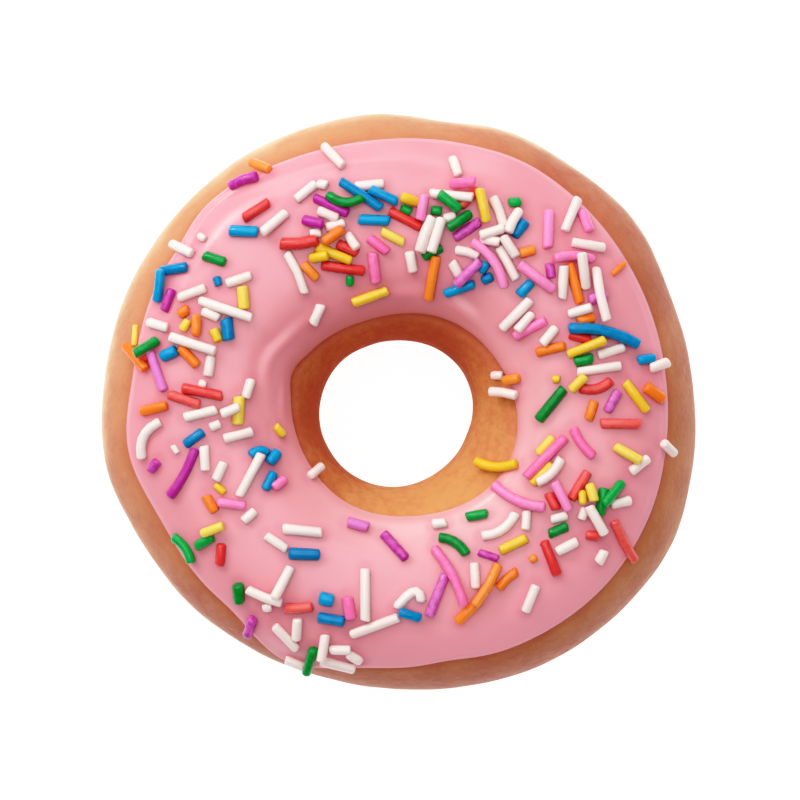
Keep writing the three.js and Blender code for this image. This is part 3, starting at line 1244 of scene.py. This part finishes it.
SCATTER: dict[Sugar, tuple[Rod, ...]] = {
    Sugar.BLUE: (
        Rod(-9.3, 33.8, -2.9, 29.6, bow=0.1, tier=1),
        Rod(-4.7, 32.6, -0.4, 30.6, tier=1),
        Rod(-6.4, 27.9, -1.6, 27.7),
        Rod(19.4, 27.7, 17.5, 25.3),
        Rod(-26.3, 26.2, -21.9, 26.0, thick=1.8),
        Rod(-26.8, 12.7, -26.4, 9.3, thick=2.0),
        Rod(-28.3, 19.1, -27.9, 17.7, thick=1.3),
        Rod(6.8, 16.4, 11.4, 18.0),
        Rod(13.3, 21.3, 12.3, 19.8),
        Rod(14.2, 19.2, 12.6, 18.4),
        Rod(20.2, 18.3, 18.2, 16.2),
        Rod(25.9, 11.1, 36.7, 8.6, bow=0.9, tier=1, thick=1.7),
        Rod(-36.7, 20.0, -32.8, 20.6),
        Rod(-36.9, 20.2, -37.5, 15.3, bow=0.1, tier=1),
        Rod(-36.8, 6.7, -34.4, 7.8, thick=1.8),
        Rod(-33.2, -6.8, -30.3, -4.7),
        Rod(-23.1, -8.4, -20.3, -8.0, bow=0.6, thick=1.4),
        Rod(-18.8, -7.8, -20.2, -9.6, thick=1.8),
        Rod(36.6, 6.2, 39.1, 6.6),
        Rod(-19.4, -10.9, -20.8, -13.7),
        Rod(-17.2, -23.5, -12.4, -23.7, thick=1.9),
        Rod(-12.5, -30.3, -10.3, -30.8, thick=2.1),
        Rod(-12.7, -33.3, -8.6, -34.0, thick=1.7),
        Rod(-0.2, -32.5, 3.2, -33.5, tier=1),
    ),
    Sugar.WHITE: (
        Rod(-6.9, 32.9, -2.5, 33.4),
        Rod(8.0, 37.5, 9.0, 34.6),
        Rod(4.6, 31.9, 11.2, 31.3, tier=1),
        Rod(6.7, 27.9, 8.5, 28.5),
        Rod(14.2, 31.3, 15.9, 26.8, bow=0.2),
        Rod(18.4, 29.3, 16.6, 25.9, bow=-0.2, tier=1),
        Rod(27.4, 31.2, 25.3, 26.1, tier=1),
        Rod(-21.3, 25.8, -17.5, 29.0, tier=1),
        Rod(-16.1, 30.9, -13.0, 33.4),
        Rod(-12.8, 33.4, -11.2, 33.1),
        Rod(-12.7, 29.3, -9.5, 28.0),
        Rod(-11.5, 26.6, -8.6, 27.4),
        Rod(-11.8, 39.2, -8.8, 36.1),
        Rod(-13.9, 25.7, -12.2, 25.9),
        Rod(-17.5, 22.8, -14.7, 16.5, bow=0.3),
        Rod(-26.8, 18.0, -22.9, 19.3),
        Rod(-30.8, 15.4, -22.8, 12.7, tier=1),
        Rod(-12.1, 14.8, -13.5, 11.7),
        Rod(-8.2, 25.7, -6.6, 23.4, tier=1),
        Rod(1.4, 23.0, 2.0, 19.7),
        Rod(5.0, 28.3, 3.0, 22.8, bow=-0.2, tier=1, thick=1.8),
        Rod(6.4, 28.1, 4.7, 22.8, tier=1, thick=1.8),
        Rod(8.5, 23.2, 12.1, 22.2, bow=0.2),
        Rod(7.9, 21.4, 9.2, 19.1),
        Rod(12.2, 25.4, 16.0, 26.6, tier=2),
        Rod(12.6, 24.9, 15.3, 24.4, tier=1),
        Rod(15.8, 25.3, 17.9, 22.1, tier=1),
        Rod(15.2, 23.7, 17.9, 18.6),
        Rod(20.1, 15.6, 15.6, 11.0),
        Rod(20.3, 13.4, 17.9, 10.7, tier=1),
        Rod(24.0, 11.3, 21.8, 8.7, tier=1),
        Rod(25.2, 20.8, 24.9, 15.7, tier=1),
        Rod(26.4, 24.4, 31.5, 23.5),
        Rod(27.9, 22.8, 28.6, 17.2, tier=2),
        Rod(30.1, 20.4, 31.8, 12.3, bow=-0.2, tier=1),
        Rod(25.9, 13.3, 29.5, 14.4, tier=1),
        Rod(-35.3, 24.2, -32.0, 22.6),
        Rod(-31.0, 25.4, -30.0, 24.8, thick=1.2),
        Rod(-34.1, 15.8, -29.9, 17.4),
        Rod(-38.8, 12.1, -35.8, 11.2),
        Rod(-30.5, 13.8, -27.8, 12.7),
        Rod(-35.6, 9.9, -28.4, 7.6, tier=1),
        Rod(-29.1, 6.9, -29.6, 3.7),
        Rod(-31.0, 2.8, -29.9, 2.4, thick=1.3),
        Rod(-36.9, -3.2, -39.7, -8.9, bow=-1.3),
        Rod(-33.2, -2.6, -28.2, -1.3),
        Rod(-27.6, -2.1, -24.8, -0.9, tier=1),
        Rod(-29.3, -4.2, -27.7, -3.5),
        Rod(-35.0, -6.9, -34.2, -8.1, thick=1.0),
        Rod(-22.9, 3.3, -23.8, 0.5),
        Rod(-27.2, -5.9, -22.7, -4.7),
        Rod(14.1, 3.9, 15.8, 3.9, thick=1.4),
        Rod(13.7, 1.4, 17.9, 0.8, bow=0.2),
        Rod(27.2, 4.4, 34.0, 5.4),
        Rod(30.4, 7.0, 34.5, 8.3),
        Rod(38.4, 5.0, 41.4, 6.0, tier=1),
        Rod(35.4, -11.0, 38.2, -8.8),
        Rod(40.4, -6.4, 42.3, -8.3),
        Rod(-30.2, -6.9, -30.0, -10.8),
        Rod(-27.1, -9.4, -28.4, -12.3),
        Rod(-21.3, -8.1, -24.8, -14.7, tier=1),
        Rod(-11.9, -9.9, -13.9, -11.6, thick=1.4),
        Rod(-22.3, -16.9, -24.2, -18.6),
        Rod(-18.1, -19.7, -12.0, -20.3, thick=1.7),
        Rod(-20.7, -20.7, -17.4, -22.9),
        Rod(4.9, -19.0, 7.1, -18.7),
        Rod(-5.4, -25.8, -5.4, -33.9, thick=1.7),
        Rod(24.8, -8.8, 21.0, -12.6, bow=0.6, tier=1),
        Rod(23.2, -18.3, 25.7, -17.6),
        Rod(24.0, -23.3, 27.3, -21.6),
        Rod(12.5, -20.8, 17.8, -17.2, bow=-1.0),
        Rod(19.5, -16.9, 19.3, -19.9),
        Rod(11.4, -24.9, 11.6, -28.9),
        Rod(20.9, -28.4, 19.2, -32.5),
        Rod(32.4, -16.0, 35.5, -15.3),
        Rod(29.0, -16.2, 31.5, -20.6, tier=1),
        Rod(28.6, -16.4, 27.8, -18.3),
        Rod(31.5, -23.0, 30.4, -25.0),
        Rod(-23.6, -29.0, -18.2, -31.1, bow=-0.2, tier=1),
        Rod(-16.8, -25.5, -19.4, -30.5, tier=2),
        Rod(-21.1, -31.9, -19.8, -31.7),
        Rod(-19.4, -34.6, -15.9, -38.2),
        Rod(-15.8, -33.5, -16.0, -36.8),
        Rod(-17.7, -39.8, -14.2, -41.2),
        Rod(-11.5, -36.0, -12.2, -40.2, tier=1),
        Rod(-10.8, -38.3, -7.6, -38.4),
        Rod(-12.3, -40.0, -7.0, -41.3),
        Rod(-8.1, -38.9, -6.0, -40.2),
        Rod(-7.6, -36.0, -0.2, -33.3),
        Rod(-0.6, -31.9, 3.2, -31.0, bow=1.86, skew=2.7),
    ),
    Sugar.YELLOW: (
        Rod(0.1, 31.4, 2.8, 30.5, tier=1),
        Rod(12.2, 32.6, 13.3, 27.6, tier=1),
        Rod(-13.8, 21.9, -11.1, 22.4, tier=2),
        Rod(-13.0, 23.7, -7.5, 21.5, tier=1),
        Rod(-24.3, 17.6, -24.0, 14.1, thick=1.8),
        Rod(-2.9, 26.1, 0.6, 24.3),
        Rod(-7.4, 15.0, -1.9, 17.0),
        Rod(25.8, 7.1, 31.6, 9.4, tier=1),
        Rod(-32.6, 12.4, -33.6, 10.8),
        Rod(-28.8, 11.1, -27.9, 9.1),
        Rod(-40.7, 11.7, -40.9, 8.4, thick=1.0),
        Rod(-24.8, 0.7, -25.0, -3.7, thick=1.9),
        Rod(-19.2, -3.8, -17.9, -5.4, thick=1.3),
        Rod(23.4, 3.3, 24.6, 3.3, thick=1.3),
        Rod(26.2, 1.6, 28.5, 3.8, tier=1),
        Rod(23.5, -5.6, 21.2, -8.2),
        Rod(34.6, 2.9, 38.0, -1.6),
        Rod(33.0, -7.0, 37.1, -9.3, tier=1),
        Rod(-28.5, -12.9, -27.0, -14.2, thick=1.2),
        Rod(-30.6, -20.5, -27.2, -19.2, tier=1),
        Rod(11.5, -9.2, 17.9, -9.6, bow=-0.8),
        Rod(20.2, -12.8, 23.4, -9.7),
        Rod(15.3, -23.1, 19.5, -21.1),
        Rod(29.1, -12.8, 29.9, -15.5, tier=2),
        Rod(28.0, -14.0, 28.1, -15.9, tier=1, thick=1.2),
    ),
    Sugar.GREEN: (
        Rod(0.1, 29.8, 1.7, 29.0),
        Rod(-11.2, 31.8, -5.7, 31.4, bow=-1.1, tier=2),
        Rod(5.9, 31.9, 9.2, 29.4, tier=2),
        Rod(4.7, 29.3, 6.4, 29.2),
        Rod(10.7, 28.8, 7.4, 26.5, tier=1),
        Rod(16.7, 30.5, 18.5, 30.6),
        Rod(-30.3, 22.4, -26.9, 21.3),
        Rod(-7.7, 19.2, -7.8, 17.7, thick=1.3),
        Rod(3.4, 22.1, 6.4, 23.6),
        Rod(-37.3, 9.4, -41.0, 7.2, tier=1),
        Rod(26.8, 5.9, 29.7, 6.6),
        Rod(25.2, 1.9, 21.2, -3.0, thick=1.7),
        Rod(-31.5, -22.5, -28.8, -20.9),
        Rod(-35.1, -20.9, -32.2, -25.0, bow=0.6),
        Rod(5.9, -21.0, 10.2, -23.7, bow=0.7),
        Rod(22.8, -20.5, 25.8, -19.3),
        Rod(10.1, -17.9, 13.4, -17.3),
        Rod(31.4, -13.4, 30.7, -17.6),
        Rod(34.2, -12.5, 31.3, -16.0, tier=1),
        Rod(-25.0, -28.2, -24.8, -31.1, thick=1.7),
        Rod(-13.3, -38.1, -14.5, -42.1, tier=1),
    ),
    Sugar.RED: (
        Rod(-1.7, 29.2, 3.2, 26.7),
        Rod(9.2, 29.9, 11.8, 32.6),
        Rod(-24.2, 28.0, -20.2, 30.6),
        Rod(-18.5, 24.2, -12.7, 24.8, bow=-0.3, tier=2, thick=1.8),
        Rod(-9.7, 24.2, -6.5, 22.7),
        Rod(-12.1, 20.9, -5.5, 20.0, bow=-0.1),
        Rod(26.0, 10.2, 29.4, 9.3),
        Rod(-40.3, 6.3, -38.8, 6.8, thick=1.3),
        Rod(-33.6, 2.0, -27.3, 0.7, tier=1),
        Rod(-35.6, 1.0, -30.8, -0.6),
        Rod(27.6, 2.0, 32.5, 3.2, bow=-0.8),
        Rod(30.8, -3.5, 36.9, -3.6),
        Rod(-27.5, -22.0, -27.8, -25.3),
        Rod(22.8, -14.2, 24.1, -16.8),
        Rod(28.9, -10.9, 26.3, -15.2),
        Rod(22.1, -21.6, 24.2, -26.9),
        Rod(28.6, -20.6, 30.6, -20.9),
        Rod(32.9, -18.5, 36.1, -24.6, bow=-0.2),
        Rod(-17.9, -31.9, -13.5, -31.6, bow=-0.2),
    ),
    Sugar.PINK: (
        Rod(3.8, 31.7, 3.0, 27.8, tier=1),
        Rod(7.9, 33.4, 11.6, 33.7, tier=1),
        Rod(22.9, 29.3, 22.7, 23.5),
        Rod(27.9, 29.3, 29.2, 26.1),
        Rod(-4.9, 25.1, -1.9, 22.8),
        Rod(-4.3, 22.8, -3.7, 18.2),
        Rod(11.1, 24.5, 16.0, 17.3, bow=1.0, tier=1),
        Rod(18.3, 21.0, 23.7, 17.0, tier=1),
        Rod(22.4, 12.4, 17.5, 9.8),
        Rod(23.7, 21.9, 29.7, 21.8, bow=0.5, tier=1),
        Rod(26.6, -4.2, 29.8, -8.6, bow=-0.4),
        Rod(-28.1, -15.6, -23.8, -16.2, tier=1),
        Rod(-17.7, -12.0, -19.6, -13.4),
        Rod(5.1, -22.6, 9.8, -31.5, bow=0.6, tier=1),
        Rod(14.3, -12.8, 22.3, -16.4, bow=-0.8),
        Rod(25.4, -5.6, 19.3, -11.8, tier=1),
        Rod(23.7, -12.5, 26.0, -16.9, tier=1),
        Rod(-8.2, -30.2, -7.6, -33.6, thick=1.8),
    ),
    Sugar.ORANGE: (
        Rod(-23.1, 36.8, -20.1, 35.6),
        Rod(-11.8, 24.4, -8.8, 26.5, tier=2),
        Rod(-15.0, 21.1, -12.8, 18.8),
        Rod(5.5, 22.3, 4.3, 15.5),
        Rod(18.3, 22.6, 20.8, 23.3),
        Rod(26.0, 21.2, 27.7, 15.0),
        Rod(29.9, 12.9, 27.3, 12.2),
        Rod(34.7, 21.3, 32.6, 19.4, thick=0.9),
        Rod(-34.1, 13.2, -32.6, 14.2),
        Rod(-31.5, 13.2, -31.6, 10.0, bow=0.2, tier=1),
        Rod(-42.4, 8.6, -39.2, 4.8),
        Rod(-33.9, 8.2, -31.2, 5.4),
        Rod(-40.0, -1.7, -35.9, -0.7),
        Rod(15.9, 3.1, 18.3, 3.5),
        Rod(20.9, 7.4, 25.4, 8.5),
        Rod(37.7, 2.2, 40.6, 0.1, thick=1.8),
        Rod(29.9, 0.0, 28.9, -3.0),
        Rod(-29.9, -14.6, -28.4, -17.1, bow=-0.1),
        Rod(15.1, -25.1, 11.4, -31.5, bow=0.35, tier=1),
        Rod(12.4, -30.5, 8.7, -34.1),
        Rod(18.0, -26.2, 15.1, -28.9, bow=-0.2),
        Rod(19.9, -24.5, 21.0, -24.1, thick=1.3),
    ),
    Sugar.PURPLE: (
        Rod(-26.3, 32.9, -22.0, 34.6, bow=0.3),
        Rod(-13.3, 31.3, -8.0, 28.8, tier=1),
        Rod(-15.0, 27.9, -11.8, 27.1, tier=1),
        Rod(12.3, 21.5, 8.5, 17.7, tier=1),
        Rod(12.3, 27.6, 8.3, 25.0),
        Rod(22.9, 21.2, 23.3, 18.9),
        Rod(31.7, 16.5, 29.0, 15.5),
        Rod(-35.1, 17.2, -36.4, 13.8),
        Rod(-38.5, 7.5, -36.4, 1.5),
        Rod(33.6, 1.5, 31.8, -1.7),
        Rod(-37.3, -9.2, -38.6, -10.9),
        Rod(-31.6, -7.4, -35.6, -14.8, bow=0.4),
        Rod(-8.1, -18.6, -4.9, -19.5, thick=1.7),
        Rod(-2.7, -20.3, 0.9, -24.3),
        Rod(7.0, -26.6, 4.4, -33.2),
        Rod(12.0, -23.3, 15.1, -24.3, thick=1.2),
        Rod(-22.7, -33.4, -23.6, -36.4),
    ),
}


class Ground:
    """The surfaces that sprinkles lie on, felt from straight above."""

    def __init__(self, skins: Iterable[tuple[Array, Array]]) -> None:
        """Takes each surface's vertices in mm and its faces."""
        self.trees = [BVHTree.FromPolygons(points.tolist(), faces.tolist()) for points, faces in skins]

    def under(self, x: float, y: float) -> tuple[float, float]:
        """Feels for the highest surface under a place, from well above them all.

        Args:
            x: the place's x in mm.
            y: its y in mm.

        Returns:
            The surface's height in mm, and how level it is there, 1 being level.
        """
        above, down = Vector((x, y, 100.0)), Vector((0.0, 0.0, -1.0))
        height, level = 0.0, 1.0
        for tree in self.trees:
            spot, normal, _, _ = tree.ray_cast(above, down)
            if spot is not None and spot.z > height:
                height, level = spot.z, abs(normal.z)
        return height, level


@dataclass(frozen=True)
class TopCamera:
    """A camera straight above the ring, which sees so many mm across at the height of the ring's waist.

    Its sizes and place are in mm, and clip, how near and how far it sees, is in metres.
    """

    lens: float = 300.0
    sensor: float = 36.0
    seen_width: float = 123.08
    waist: float = 13.6
    x: float = 0.08
    y: float = 0.0
    clip: tuple[float, float] = (0.05, 20.0)

    @property
    def distance(self) -> float:
        """Its height above the waist, in mm."""
        return self.seen_width * self.lens / self.sensor

    def true_place(self, seen: Array, height: Array) -> Array:
        """Where a point at a height really is in the plan, from where it is seen against the waist."""
        axis = np.array((self.x, self.y))
        return axis + (seen - axis) * (1 - (height[..., None] - self.waist) / self.distance)

    def build(self) -> None:
        """Makes it the scene's camera."""
        data = bpy.data.cameras.new("top_camera")
        data.lens, data.sensor_width = self.lens, self.sensor
        data.clip_start, data.clip_end = self.clip
        camera = bpy.data.objects.new("top_camera", data)
        camera.location = (self.x * MM, self.y * MM, (self.waist + self.distance) * MM)
        bpy.context.scene.collection.objects.link(camera)
        bpy.context.scene.camera = camera


@dataclass(frozen=True)
class LaidRod:
    """A rod in its resting place: points of its middle line, and its radius, in mm."""

    line: Array
    radius: float

    def hold(self, place: Array, apart: float) -> Array:
        """Heights at which it holds up a rod that crosses over it.

        Height = its own height + sqrt(apart ** 2 - distance ** 2), for the highest of its points.

        Args:
            place: places along the other rod, in the plan.
            apart: how far the two middle lines are held apart, in mm.

        Returns:
            One height in mm for each place, and -1 where the other is clear of it.
        """
        gap = np.hypot(*np.moveaxis(place[:, None] - self.line[None, :, :2], -1, 0))
        room = apart**2 - gap**2
        return np.where(room > 0, self.line[None, :, 2] + np.sqrt(np.maximum(room, 0)), -1).max(1)


@dataclass
class SprinkleScatter:
    """The coloured sugar rods, each resting on the icing, the dough or the rods below it.

    shift moves them all in the plan. sink is how deep they sit in what they lie on, press how far they are
    pressed into each other, and highest the greatest height, in mm. Ground counts as no steeper than
    least_level. drape is how much of the way they droop to bare ground, by droop_limit mm at the most.
    steepest is their greatest slope. end_profile gives insets from an end in mm, and how wide the rod is
    there. end_slant is how far an end leans, and end_reach how far in mm it does. rings is how many rings a
    rod's body has, first for a straight rod, and then for one whose bow is more than bent.
    """

    ground: Ground
    camera: TopCamera = field(default_factory=TopCamera)
    shift: tuple[float, float] = (0.12, -0.12)
    sink: float = 0.35
    press: float = 0.22
    highest: float = 32.95
    drape: float = 0.6
    droop_limit: float = 0.35
    steepest: float = 0.62
    least_level: float = 0.5
    feelers: int = 9
    settlings: int = 3
    line_points: int = 17
    sides: int = 8
    bent: float = 0.35
    rings: tuple[int, int] = (3, 6)
    end_profile: tuple[tuple[float, float], ...] = ((0.0, 0.66), (0.10, 0.90), (0.34, 1.0))
    end_slant: float = 0.28
    end_reach: float = 0.5
    thickness_range: tuple[float, float] = (0.95, 1.05)
    ring_wobble: float = 0.045
    seed: int = 41
    laid: list[LaidRod] = field(default_factory=list)

    def rest(self, rod: Rod, radius: float) -> Array:
        """Heights of a rod's middle line as it comes to rest.

        What holds it is felt at places along it: ground height + (radius - sink) / level, or what a lower
        rod holds up. It rests on the highest straight line that joins a place in its first half to one in its
        last half, and on bare ground it droops part of the way to what it touches. Its place in the plan
        depends on its height, so it is settled a few times over.

        Args:
            rod: the rod.
            radius: its radius in mm.

        Returns:
            Factors of the curve of second degree that its height follows.
        """
        share = np.linspace(0, 1, self.feelers)
        seen = rod.plan(share) + self.shift
        height = np.full(self.feelers, self.highest - 2)
        for _ in range(self.settlings):
            place = self.camera.true_place(seen, height)
            felt = np.array([self.ground.under(x, y) for x, y in place])
            floor = felt[:, 0] + (radius - self.sink) / np.maximum(felt[:, 1], self.least_level)
            if rod.tier:
                held = [below.hold(place, radius + below.radius - self.press) for below in self.laid]
                floor = np.maximum(floor, np.max(held, axis=0))
            height = self.hull_line(share, floor, self.steepest * rod.span)
            if not rod.tier:
                height = height + self.drape * np.clip(floor - height, -self.droop_limit, 0)
            height = np.minimum(height, self.highest - radius)
        return np.polyfit(share, height, 2)

    @staticmethod
    def hull_line(share: Array, floor: Array, greatest: float) -> Array:
        """The straight line that a rod comes to rest on.

        It joins one place in the first half to one in the last, and is the highest such line at the middle.
        Where it is too steep the rod is stuck by its upper end and stands out from the slope: the line keeps
        the greatest slope, and is raised until nothing is above it.

        Args:
            share: places along the rod, from 0 to 1.
            floor: the least height that each place can have.
            greatest: the most that the line may rise or fall from end to end.

        Returns:
            The line's heights.
        """
        middle = len(share) // 2
        best, slope = -np.inf, 0.0
        for first in range(middle + 1):
            for last in range(middle, len(share)):
                if first == last:
                    continue
                rise = (floor[last] - floor[first]) / (share[last] - share[first])
                level = floor[first] + rise * (0.5 - share[first])
                if level > best:
                    best, slope = level, rise
        slope = min(max(slope, -greatest), greatest)
        return slope * share + (floor - slope * share).max()

    def middle_line(self, rod: Rod, share: Array, curve: Array) -> Array:
        """Points in mm along a laid rod, from its plan and the factors of its height."""
        height = np.polyval(curve, share)
        return np.column_stack((self.camera.true_place(rod.plan(share) + self.shift, height), height))

    def surface(self, rod: Rod, radius: float, curve: Array, wobble: Array) -> Mesh:
        """A rod's skin: rings carried along its middle line, which narrow over each blunt end.

        Each end is broken off a little aslant: its rings lean by end_slant * exp(-distance / end_reach)
        times the cosine of the way round them.

        Args:
            rod: the rod.
            radius: its radius in mm.
            curve: factors of its height along it.
            wobble: seeded numbers from -1 to 1, for each ring's radius and for each end's lean.

        Returns:
            Its vertices in mm, and its faces.
        """
        length = rod.span + abs(rod.bow)
        inset, narrow = np.array(self.end_profile).T
        body = np.linspace(inset[-1], length - inset[-1], self.rings[abs(rod.bow) > self.bent])[1:-1]
        share = np.concatenate((inset, body, (length - inset)[::-1])) / length
        scale = np.concatenate((narrow, np.ones(len(body)), narrow[::-1]))
        scale = scale * (1 + self.ring_wobble * wobble[: len(share)])
        middle = self.middle_line(rod, share, curve)
        way = np.gradient(middle, share, axis=0)
        way /= np.linalg.norm(way, axis=1, keepdims=True)
        side = np.cross((0.0, 0.0, 1.0), way)
        side /= np.linalg.norm(side, axis=1, keepdims=True)
        top = np.cross(way, side)
        corner = np.arange(self.sides) * TAU / self.sides
        around = np.cos(corner)[:, None] * side[:, None] + np.sin(corner)[:, None] * top[:, None]
        *_, turned, at_last, at_first = wobble
        near_ends = at_first * bell(share * length, self.end_reach, 1)
        near_ends = near_ends + at_last * bell((1 - share) * length, self.end_reach, 1)
        lean = self.end_slant * near_ends[:, None] * np.cos(corner + math.pi * turned)
        around = around + lean[..., None] * way[:, None]
        points = middle[:, None] + around * (radius * scale)[:, None, None]
        return points.reshape(-1, 3), tube_faces(len(share), self.sides)

    def build(self) -> None:
        """Lays every rod, lowest tier first, and makes one piece for each colour."""
        random = np.random.default_rng(self.seed)
        parts: dict[Sugar, list[tuple[Mesh, float]]] = {sugar: [] for sugar in SCATTER}
        waiting = [(sugar, rod) for sugar, rods in SCATTER.items() for rod in rods]
        for sugar, rod in sorted(waiting, key=lambda entry: entry[1].tier):
            radius = rod.thick / 2 * random.uniform(*self.thickness_range)
            curve = self.rest(rod, radius)
            skin = self.surface(rod, radius, curve, random.uniform(-1, 1, 16))
            line = self.middle_line(rod, np.linspace(0, 1, self.line_points), curve)
            self.laid.append(LaidRod(line, radius))
            parts[sugar].append((skin, random.uniform(0, 1)))
        for sugar, rods in parts.items():
            self.join(sugar, rods)

    @staticmethod
    def join(sugar: Sugar, rods: list[tuple[Mesh, float]]) -> None:
        """Joins the rods of one colour into a piece and dresses it.

        Args:
            sugar: the colour.
            rods: each rod's skin, and its tone from 0 to 1.
        """
        faces: list[list[int]] = []
        start = 0
        for (points, own), _ in rods:
            faces += [[corner + start for corner in face] for face in own]
            start += len(points)
        name = sugar.name.lower()
        skin = np.concatenate([points for (points, _), _ in rods])
        piece = build_piece(f"sprinkles_{name}", skin, faces, "icing")
        paint(piece, "tone", np.concatenate([np.full(len(points), tone) for (points, _), tone in rods]))
        piece.data.materials.append(sugar.value.material(f"sugar_{name}"))
        report(piece)


@dataclass(frozen=True)
class RodContactShade:
    """Painted shade on the icing round the sugar rods, standing in for their contact shadows.

    The nearest rod gives beside, which fades away from it. Each further one near by adds up to crowded.
    """

    beside: Touch = Touch(0.32, 0.7)
    crowded: Touch = Touch(0.20, 1.6)
    most: float = 0.9

    def paint_on(self, icing: Piece, points: Array, rods: Iterable[LaidRod]) -> None:
        """Paints how deep the painted shade round the rods is on the icing, from 0 to 1, as a number.

        Args:
            icing: the icing.
            points: its vertices in mm.
            rods: what lies on it.
        """
        nearest = np.full(len(points), np.inf)
        crowd = np.zeros(len(points))
        for rod in rods:
            gap = np.linalg.norm(points[:, None] - rod.line[None], axis=2).min(axis=1) - rod.radius
            gap = np.maximum(gap, 0)
            nearest = np.minimum(nearest, gap)
            crowd += bell(gap, self.crowded.reach)
        # Painted shade: deepest beside the nearest rod, and deeper where rods crowd.
        rod_shade = self.beside.at(nearest) + self.crowded.amount * np.maximum(crowd - 1, 0)
        paint(icing, "rod_shade", np.clip(rod_shade, 0, self.most))


# ---- Studio ----


@dataclass(frozen=True)
class SoftBox:
    """A rectangular area light that points at the ring, level along its width. Angles are in degrees.

    Sizes are in metres. brightness is what it alone gives a white matt card held square to it at the ring.
    Its power is pi ** 2 * distance ** 2 * brightness, as for any small flat light that shines evenly.
    """

    name: str
    heading: float
    elevation: float
    distance: float
    width: float
    height: float
    brightness: float
    colour: Colour = (1.0, 1.0, 1.0)

    def build(self) -> None:
        """Puts the light in the scene."""
        heading, elevation = math.radians(self.heading), math.radians(self.elevation)
        level, up = math.cos(elevation), math.sin(elevation)
        way = Vector((math.cos(heading) * level, math.sin(heading) * level, up))
        data = bpy.data.lights.new(self.name, "AREA")
        data.shape, data.size, data.size_y, data.color = "RECTANGLE", self.width, self.height, self.colour
        data.energy = math.pi**2 * self.distance**2 * self.brightness
        light = bpy.data.objects.new(self.name, data)
        light.location = way * self.distance
        light.rotation_euler = way.to_track_quat("Z", "Y").to_euler()
        bpy.context.scene.collection.objects.link(light)


@dataclass(frozen=True)
class FloorFinish:
    """White table that glows a little, as a lit backdrop does, so that shadows on it stay pale."""

    white: Colour = (0.34, 0.34, 0.34)
    glow: float = 0.95
    grain: float = 1.5
    grain_depth: float = 0.01

    def material(self) -> bpy.types.Material:
        """Makes the floor's material, with a trace of unevenness.

        Returns:
            The material.
        """
        sketch = Sketch("pale_floor")
        sketch.set(
            Base_Color=self.white,
            Normal=sketch.bump(sketch.noise(self.grain), self.grain_depth),
            Roughness=0.9,
            Specular_IOR_Level=0.1,
            Emission_Color=(1.0, 1.0, 1.0),
            Emission_Strength=self.glow,
        )
        return sketch.material


@dataclass(frozen=True)
class Response:
    """How the camera's film answers to light: it deepens the darkest tones and rounds off the brightest.

    Each pair of the curve is a brightness in the scene and the brightness it is shown with.
    """

    curve: tuple[tuple[float, float], ...] = (
        (0.0, 0.0), (0.04, 0.016), (0.12, 0.115), (0.30, 0.34),
        (0.60, 0.70), (0.90, 0.93), (1.02, 0.98), (1.15, 1.0),
    )

    def load(self, view: bpy.types.ColorManagedViewSettings) -> None:
        """Gives the curve to a scene's view settings.

        Args:
            view: the scene's view settings.
        """
        view.view_transform = "Standard"
        view.use_curve_mapping = True
        mapping = view.curve_mapping
        mapping.clip_max_x = self.curve[-1][0]
        every_channel = mapping.curves[3]
        every_channel.points[0].location, every_channel.points[-1].location = self.curve[0], self.curve[-1]
        for place in self.curve[1:-1]:
            every_channel.points.new(*place)
        mapping.update()


@dataclass
class Studio:
    """A pale floor under soft studio light, brightest from the upper left.

    The floor lies floor_drop under the ring, so that the two faces don't coincide. Sizes are in metres.
    """

    finish: FloorFinish = field(default_factory=FloorFinish)
    response: Response = field(default_factory=Response)
    floor_width: float = 8.0
    floor_drop: float = 0.00002
    sky: Colour = (1.0, 0.99, 0.98)
    sky_strength: float = 0.27
    lights: tuple[SoftBox, ...] = (
        SoftBox("key_softbox", 116, 36, 0.9, 1.6, 0.36, 0.58, (1.0, 0.98, 0.95)),
        SoftBox("spark_softbox", 134, 38, 0.9, 0.14, 0.14, 0.12, (1.0, 0.98, 0.95)),
        SoftBox("overhead_softbox", 120, 80, 1.4, 1.3, 1.3, 0.52),
    )

    def build(self) -> None:
        """Makes the floor, the sky and the lights."""
        half = self.floor_width / 2
        corners = [(-half, -half), (half, -half), (half, half), (-half, half)]
        mesh = bpy.data.meshes.new("floor")
        mesh.from_pydata([(x, y, -self.floor_drop) for x, y in corners], [], [(0, 1, 2, 3)])
        mesh.materials.append(self.finish.material())
        floor = bpy.data.objects.new("floor", mesh)
        bpy.context.scene.collection.objects.link(floor)
        world = bpy.data.worlds.new("studio_sky")
        world.use_nodes = True
        background = world.node_tree.nodes["Background"]
        background.inputs["Color"].default_value = (*self.sky, 1.0)
        background.inputs["Strength"].default_value = self.sky_strength
        bpy.context.scene.world = world
        self.response.load(bpy.context.scene.view_settings)
        for light in self.lights:
            light.build()


# ---- Scene ----

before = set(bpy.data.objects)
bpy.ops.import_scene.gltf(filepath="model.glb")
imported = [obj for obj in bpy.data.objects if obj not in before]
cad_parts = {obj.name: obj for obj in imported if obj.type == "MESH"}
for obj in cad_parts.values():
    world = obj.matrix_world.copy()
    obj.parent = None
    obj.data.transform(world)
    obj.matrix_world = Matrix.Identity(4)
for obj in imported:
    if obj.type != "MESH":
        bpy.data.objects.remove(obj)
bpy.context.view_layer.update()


def main() -> None:
    """Builds the dough, the icing, the sprinkles and the studio."""
    logging.basicConfig(level=logging.INFO, format="%(name)s: %(message)s")
    camera = TopCamera()
    _, *dough_skin = DoughRing().build()
    icing, *icing_skin = Icing().build()
    scatter = SprinkleScatter(Ground([dough_skin, icing_skin]), camera)
    scatter.build()
    # Painted shade round the rods on the icing.
    RodContactShade().paint_on(icing, icing_skin[0], scatter.laid)
    camera.build()
    Studio().build()


if __name__ == "__main__":
    main()
